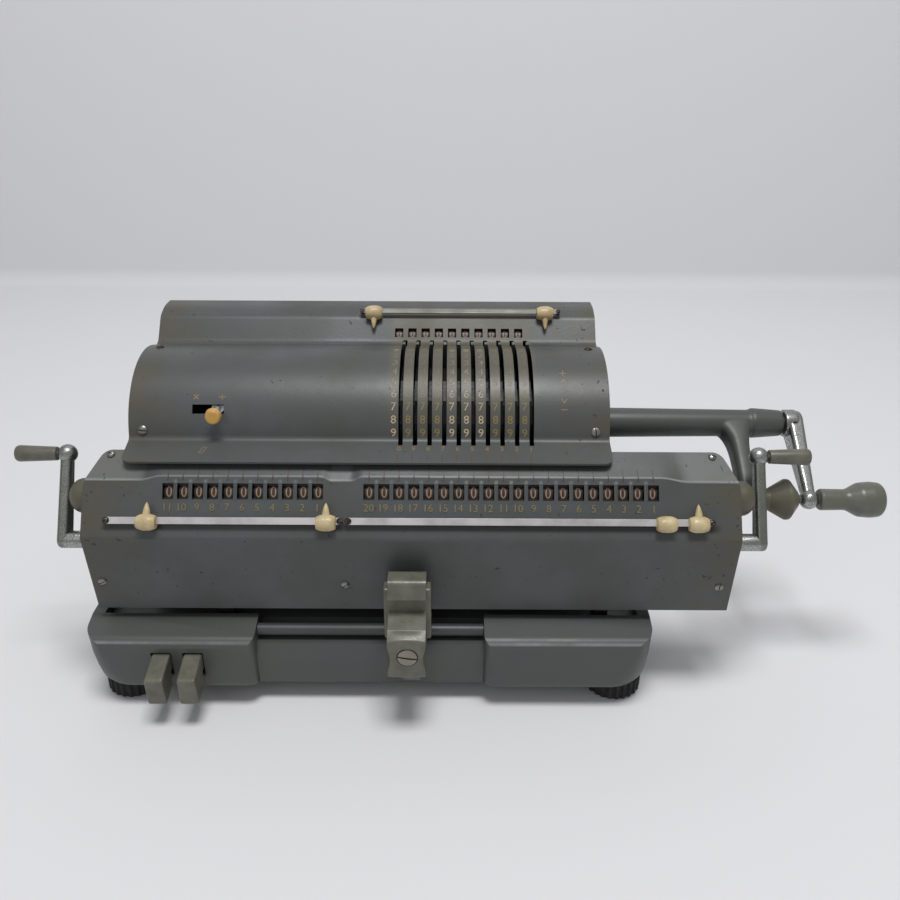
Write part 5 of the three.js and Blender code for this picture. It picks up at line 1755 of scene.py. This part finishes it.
def soft_light():
    """An even room, a wide lamp overhead and a weak one in front."""
    world = bpy.data.worlds.new("soft_room")
    world.use_nodes = True
    tree = world.node_tree
    connect(tree, tree.nodes["Background"], {"Color": rgba("#f2f3f5"), "Strength": 0.4})
    bpy.context.scene.world = world
    for name, at, aim, size, watts in (
        ("ceiling_lamp", (0.06, -0.32, 1.65), (0, 0, 0.05), (0.6, 0.45), 17),
        ("front_lamp", (-0.7, -1.5, 1.3), (0, 0, 0.08), (0.9, 0.9), 1.7),
    ):
        lamp = bpy.data.lights.new(name, "AREA")
        lamp.shape = "RECTANGLE"
        lamp.size, lamp.size_y = size
        lamp.energy = watts
        holder = link(name, lamp)
        holder.location = at
        holder.rotation_euler = (Vector(aim) - Vector(at)).to_track_quat("-Z", "Y").to_euler()


def stand_camera():
    """The camera, at the place and tilt solved from the photograph."""
    camera = bpy.data.cameras.new("camera")
    camera.lens = 34
    camera.sensor_width = 36
    camera.sensor_fit = "AUTO"
    camera.clip_start = 0.01
    stand = link("camera", camera)
    tilt = math.radians(90 - 27)
    roll = math.radians(0.27)
    at = Matrix.Translation(place(38.8, -404.9, 189.5))
    stand.matrix_world = at @ Matrix.Rotation(tilt, 4, "X") @ Matrix.Rotation(roll, 4, "Z")
    bpy.context.scene.camera = stand


class CALC_OT_stage(bpy.types.Operator):
    """Lays the pale floor and backdrop, hangs the lamps and stands the camera"""

    bl_idname = "calc.stage"
    bl_label = "Stage"

    def execute(self, context):
        pale_backdrop()
        soft_light()
        stand_camera()
        bpy.context.scene.view_settings.view_transform = "Standard"
        return {"FINISHED"}


class CalculatorLook(bpy.types.PropertyGroup):
    """Colours a user would change"""

    enamel: FloatVectorProperty(
        name="Enamel", description="Enamel of the covers",
        subtype="COLOR", size=3, min=0, max=1, default=linear("#4c5053"))
    enamel_shade: FloatVectorProperty(
        name="Enamel shade", description="Handled patches of the covers",
        subtype="COLOR", size=3, min=0, max=1, default=linear("#444643"))
    casting: FloatVectorProperty(
        name="Casting", description="Enamel of the base",
        subtype="COLOR", size=3, min=0, max=1, default=linear("#4c4f4a"))
    casting_shade: FloatVectorProperty(
        name="Casting shade", description="Handled patches of the base",
        subtype="COLOR", size=3, min=0, max=1, default=linear("#4a4e50"))
    olive: FloatVectorProperty(
        name="Olive plastic", description="Keys, small grips and the release handle",
        subtype="COLOR", size=3, min=0, max=1, default=linear("#68675a"))
    ivory: FloatVectorProperty(
        name="Ivory plastic", description="Pointers",
        subtype="COLOR", size=3, min=0, max=1, default=linear("#cabb92"))
    rust: FloatVectorProperty(
        name="Rust", description="Specks in the enamel",
        subtype="COLOR", size=3, min=0, max=1, default=linear("#4a3c30"))


class CalculatorSizes(bpy.types.PropertyGroup):
    """Sizes a user would change"""

    slot_digit: FloatProperty(
        name="Slot digits", description="Height of the digits beside the lever slots",
        unit="LENGTH", default=3.9 * MM, min=1 * MM, max=6 * MM)
    place_number: FloatProperty(
        name="Place numbers", description="Height of the numbers under the windows",
        unit="LENGTH", default=3.5 * MM, min=1 * MM, max=5 * MM)
    handle_shift: FloatProperty(
        name="Handle shift", description="Place of the release handle from the middle of the carriage",
        unit="LENGTH", default=-1.8 * MM, min=-20 * MM, max=20 * MM)


class CALC_PT_panel(bpy.types.Panel):
    """Lists the pieces and their settings"""

    bl_idname = "CALC_PT_panel"
    bl_label = "Pinwheel calculator"
    bl_space_type = "VIEW_3D"
    bl_region_type = "UI"
    bl_category = "Calculator"

    def draw(self, context):
        for group in (context.scene.calculator_look, context.scene.calculator_sizes):
            for name in group.bl_rna.properties.keys():
                if name not in ("rna_type", "name"):
                    self.layout.prop(group, name)
        for operator in OPERATORS:
            self.layout.operator(operator.bl_idname)


OPERATORS = (
    CALC_OT_top_cover,
    CALC_OT_cover_figures,
    CALC_OT_numeral_wheels,
    CALC_OT_carriage_cover,
    CALC_OT_carriage_figures,
    CALC_OT_carriage_ends,
    CALC_OT_pointers,
    CALC_OT_clearing_cranks,
    CALC_OT_main_crank,
    CALC_OT_base,
    CALC_OT_release_handle,
    CALC_OT_keys,
    CALC_OT_count_switch,
    CALC_OT_inside,
    CALC_OT_stage,
)
CLASSES = (CalculatorLook, CalculatorSizes, *OPERATORS, CALC_PT_panel)


def register():
    for made in CLASSES:
        bpy.utils.register_class(made)
    bpy.types.Scene.calculator_look = PointerProperty(type=CalculatorLook)
    bpy.types.Scene.calculator_sizes = PointerProperty(type=CalculatorSizes)


def unregister():
    del bpy.types.Scene.calculator_sizes
    del bpy.types.Scene.calculator_look
    for made in reversed(CLASSES):
        bpy.utils.unregister_class(made)


def main():
    register()
    bpy.ops.calc.top_cover()
    bpy.ops.calc.cover_figures()
    bpy.ops.calc.numeral_wheels()
    bpy.ops.calc.carriage_cover()
    bpy.ops.calc.carriage_figures()
    bpy.ops.calc.carriage_ends()
    bpy.ops.calc.pointers()
    bpy.ops.calc.clearing_cranks()
    bpy.ops.calc.main_crank()
    bpy.ops.calc.base()
    bpy.ops.calc.release_handle()
    bpy.ops.calc.keys()
    bpy.ops.calc.count_switch()
    bpy.ops.calc.inside()
    bpy.ops.calc.stage()


if __name__ == "__main__":
    main()
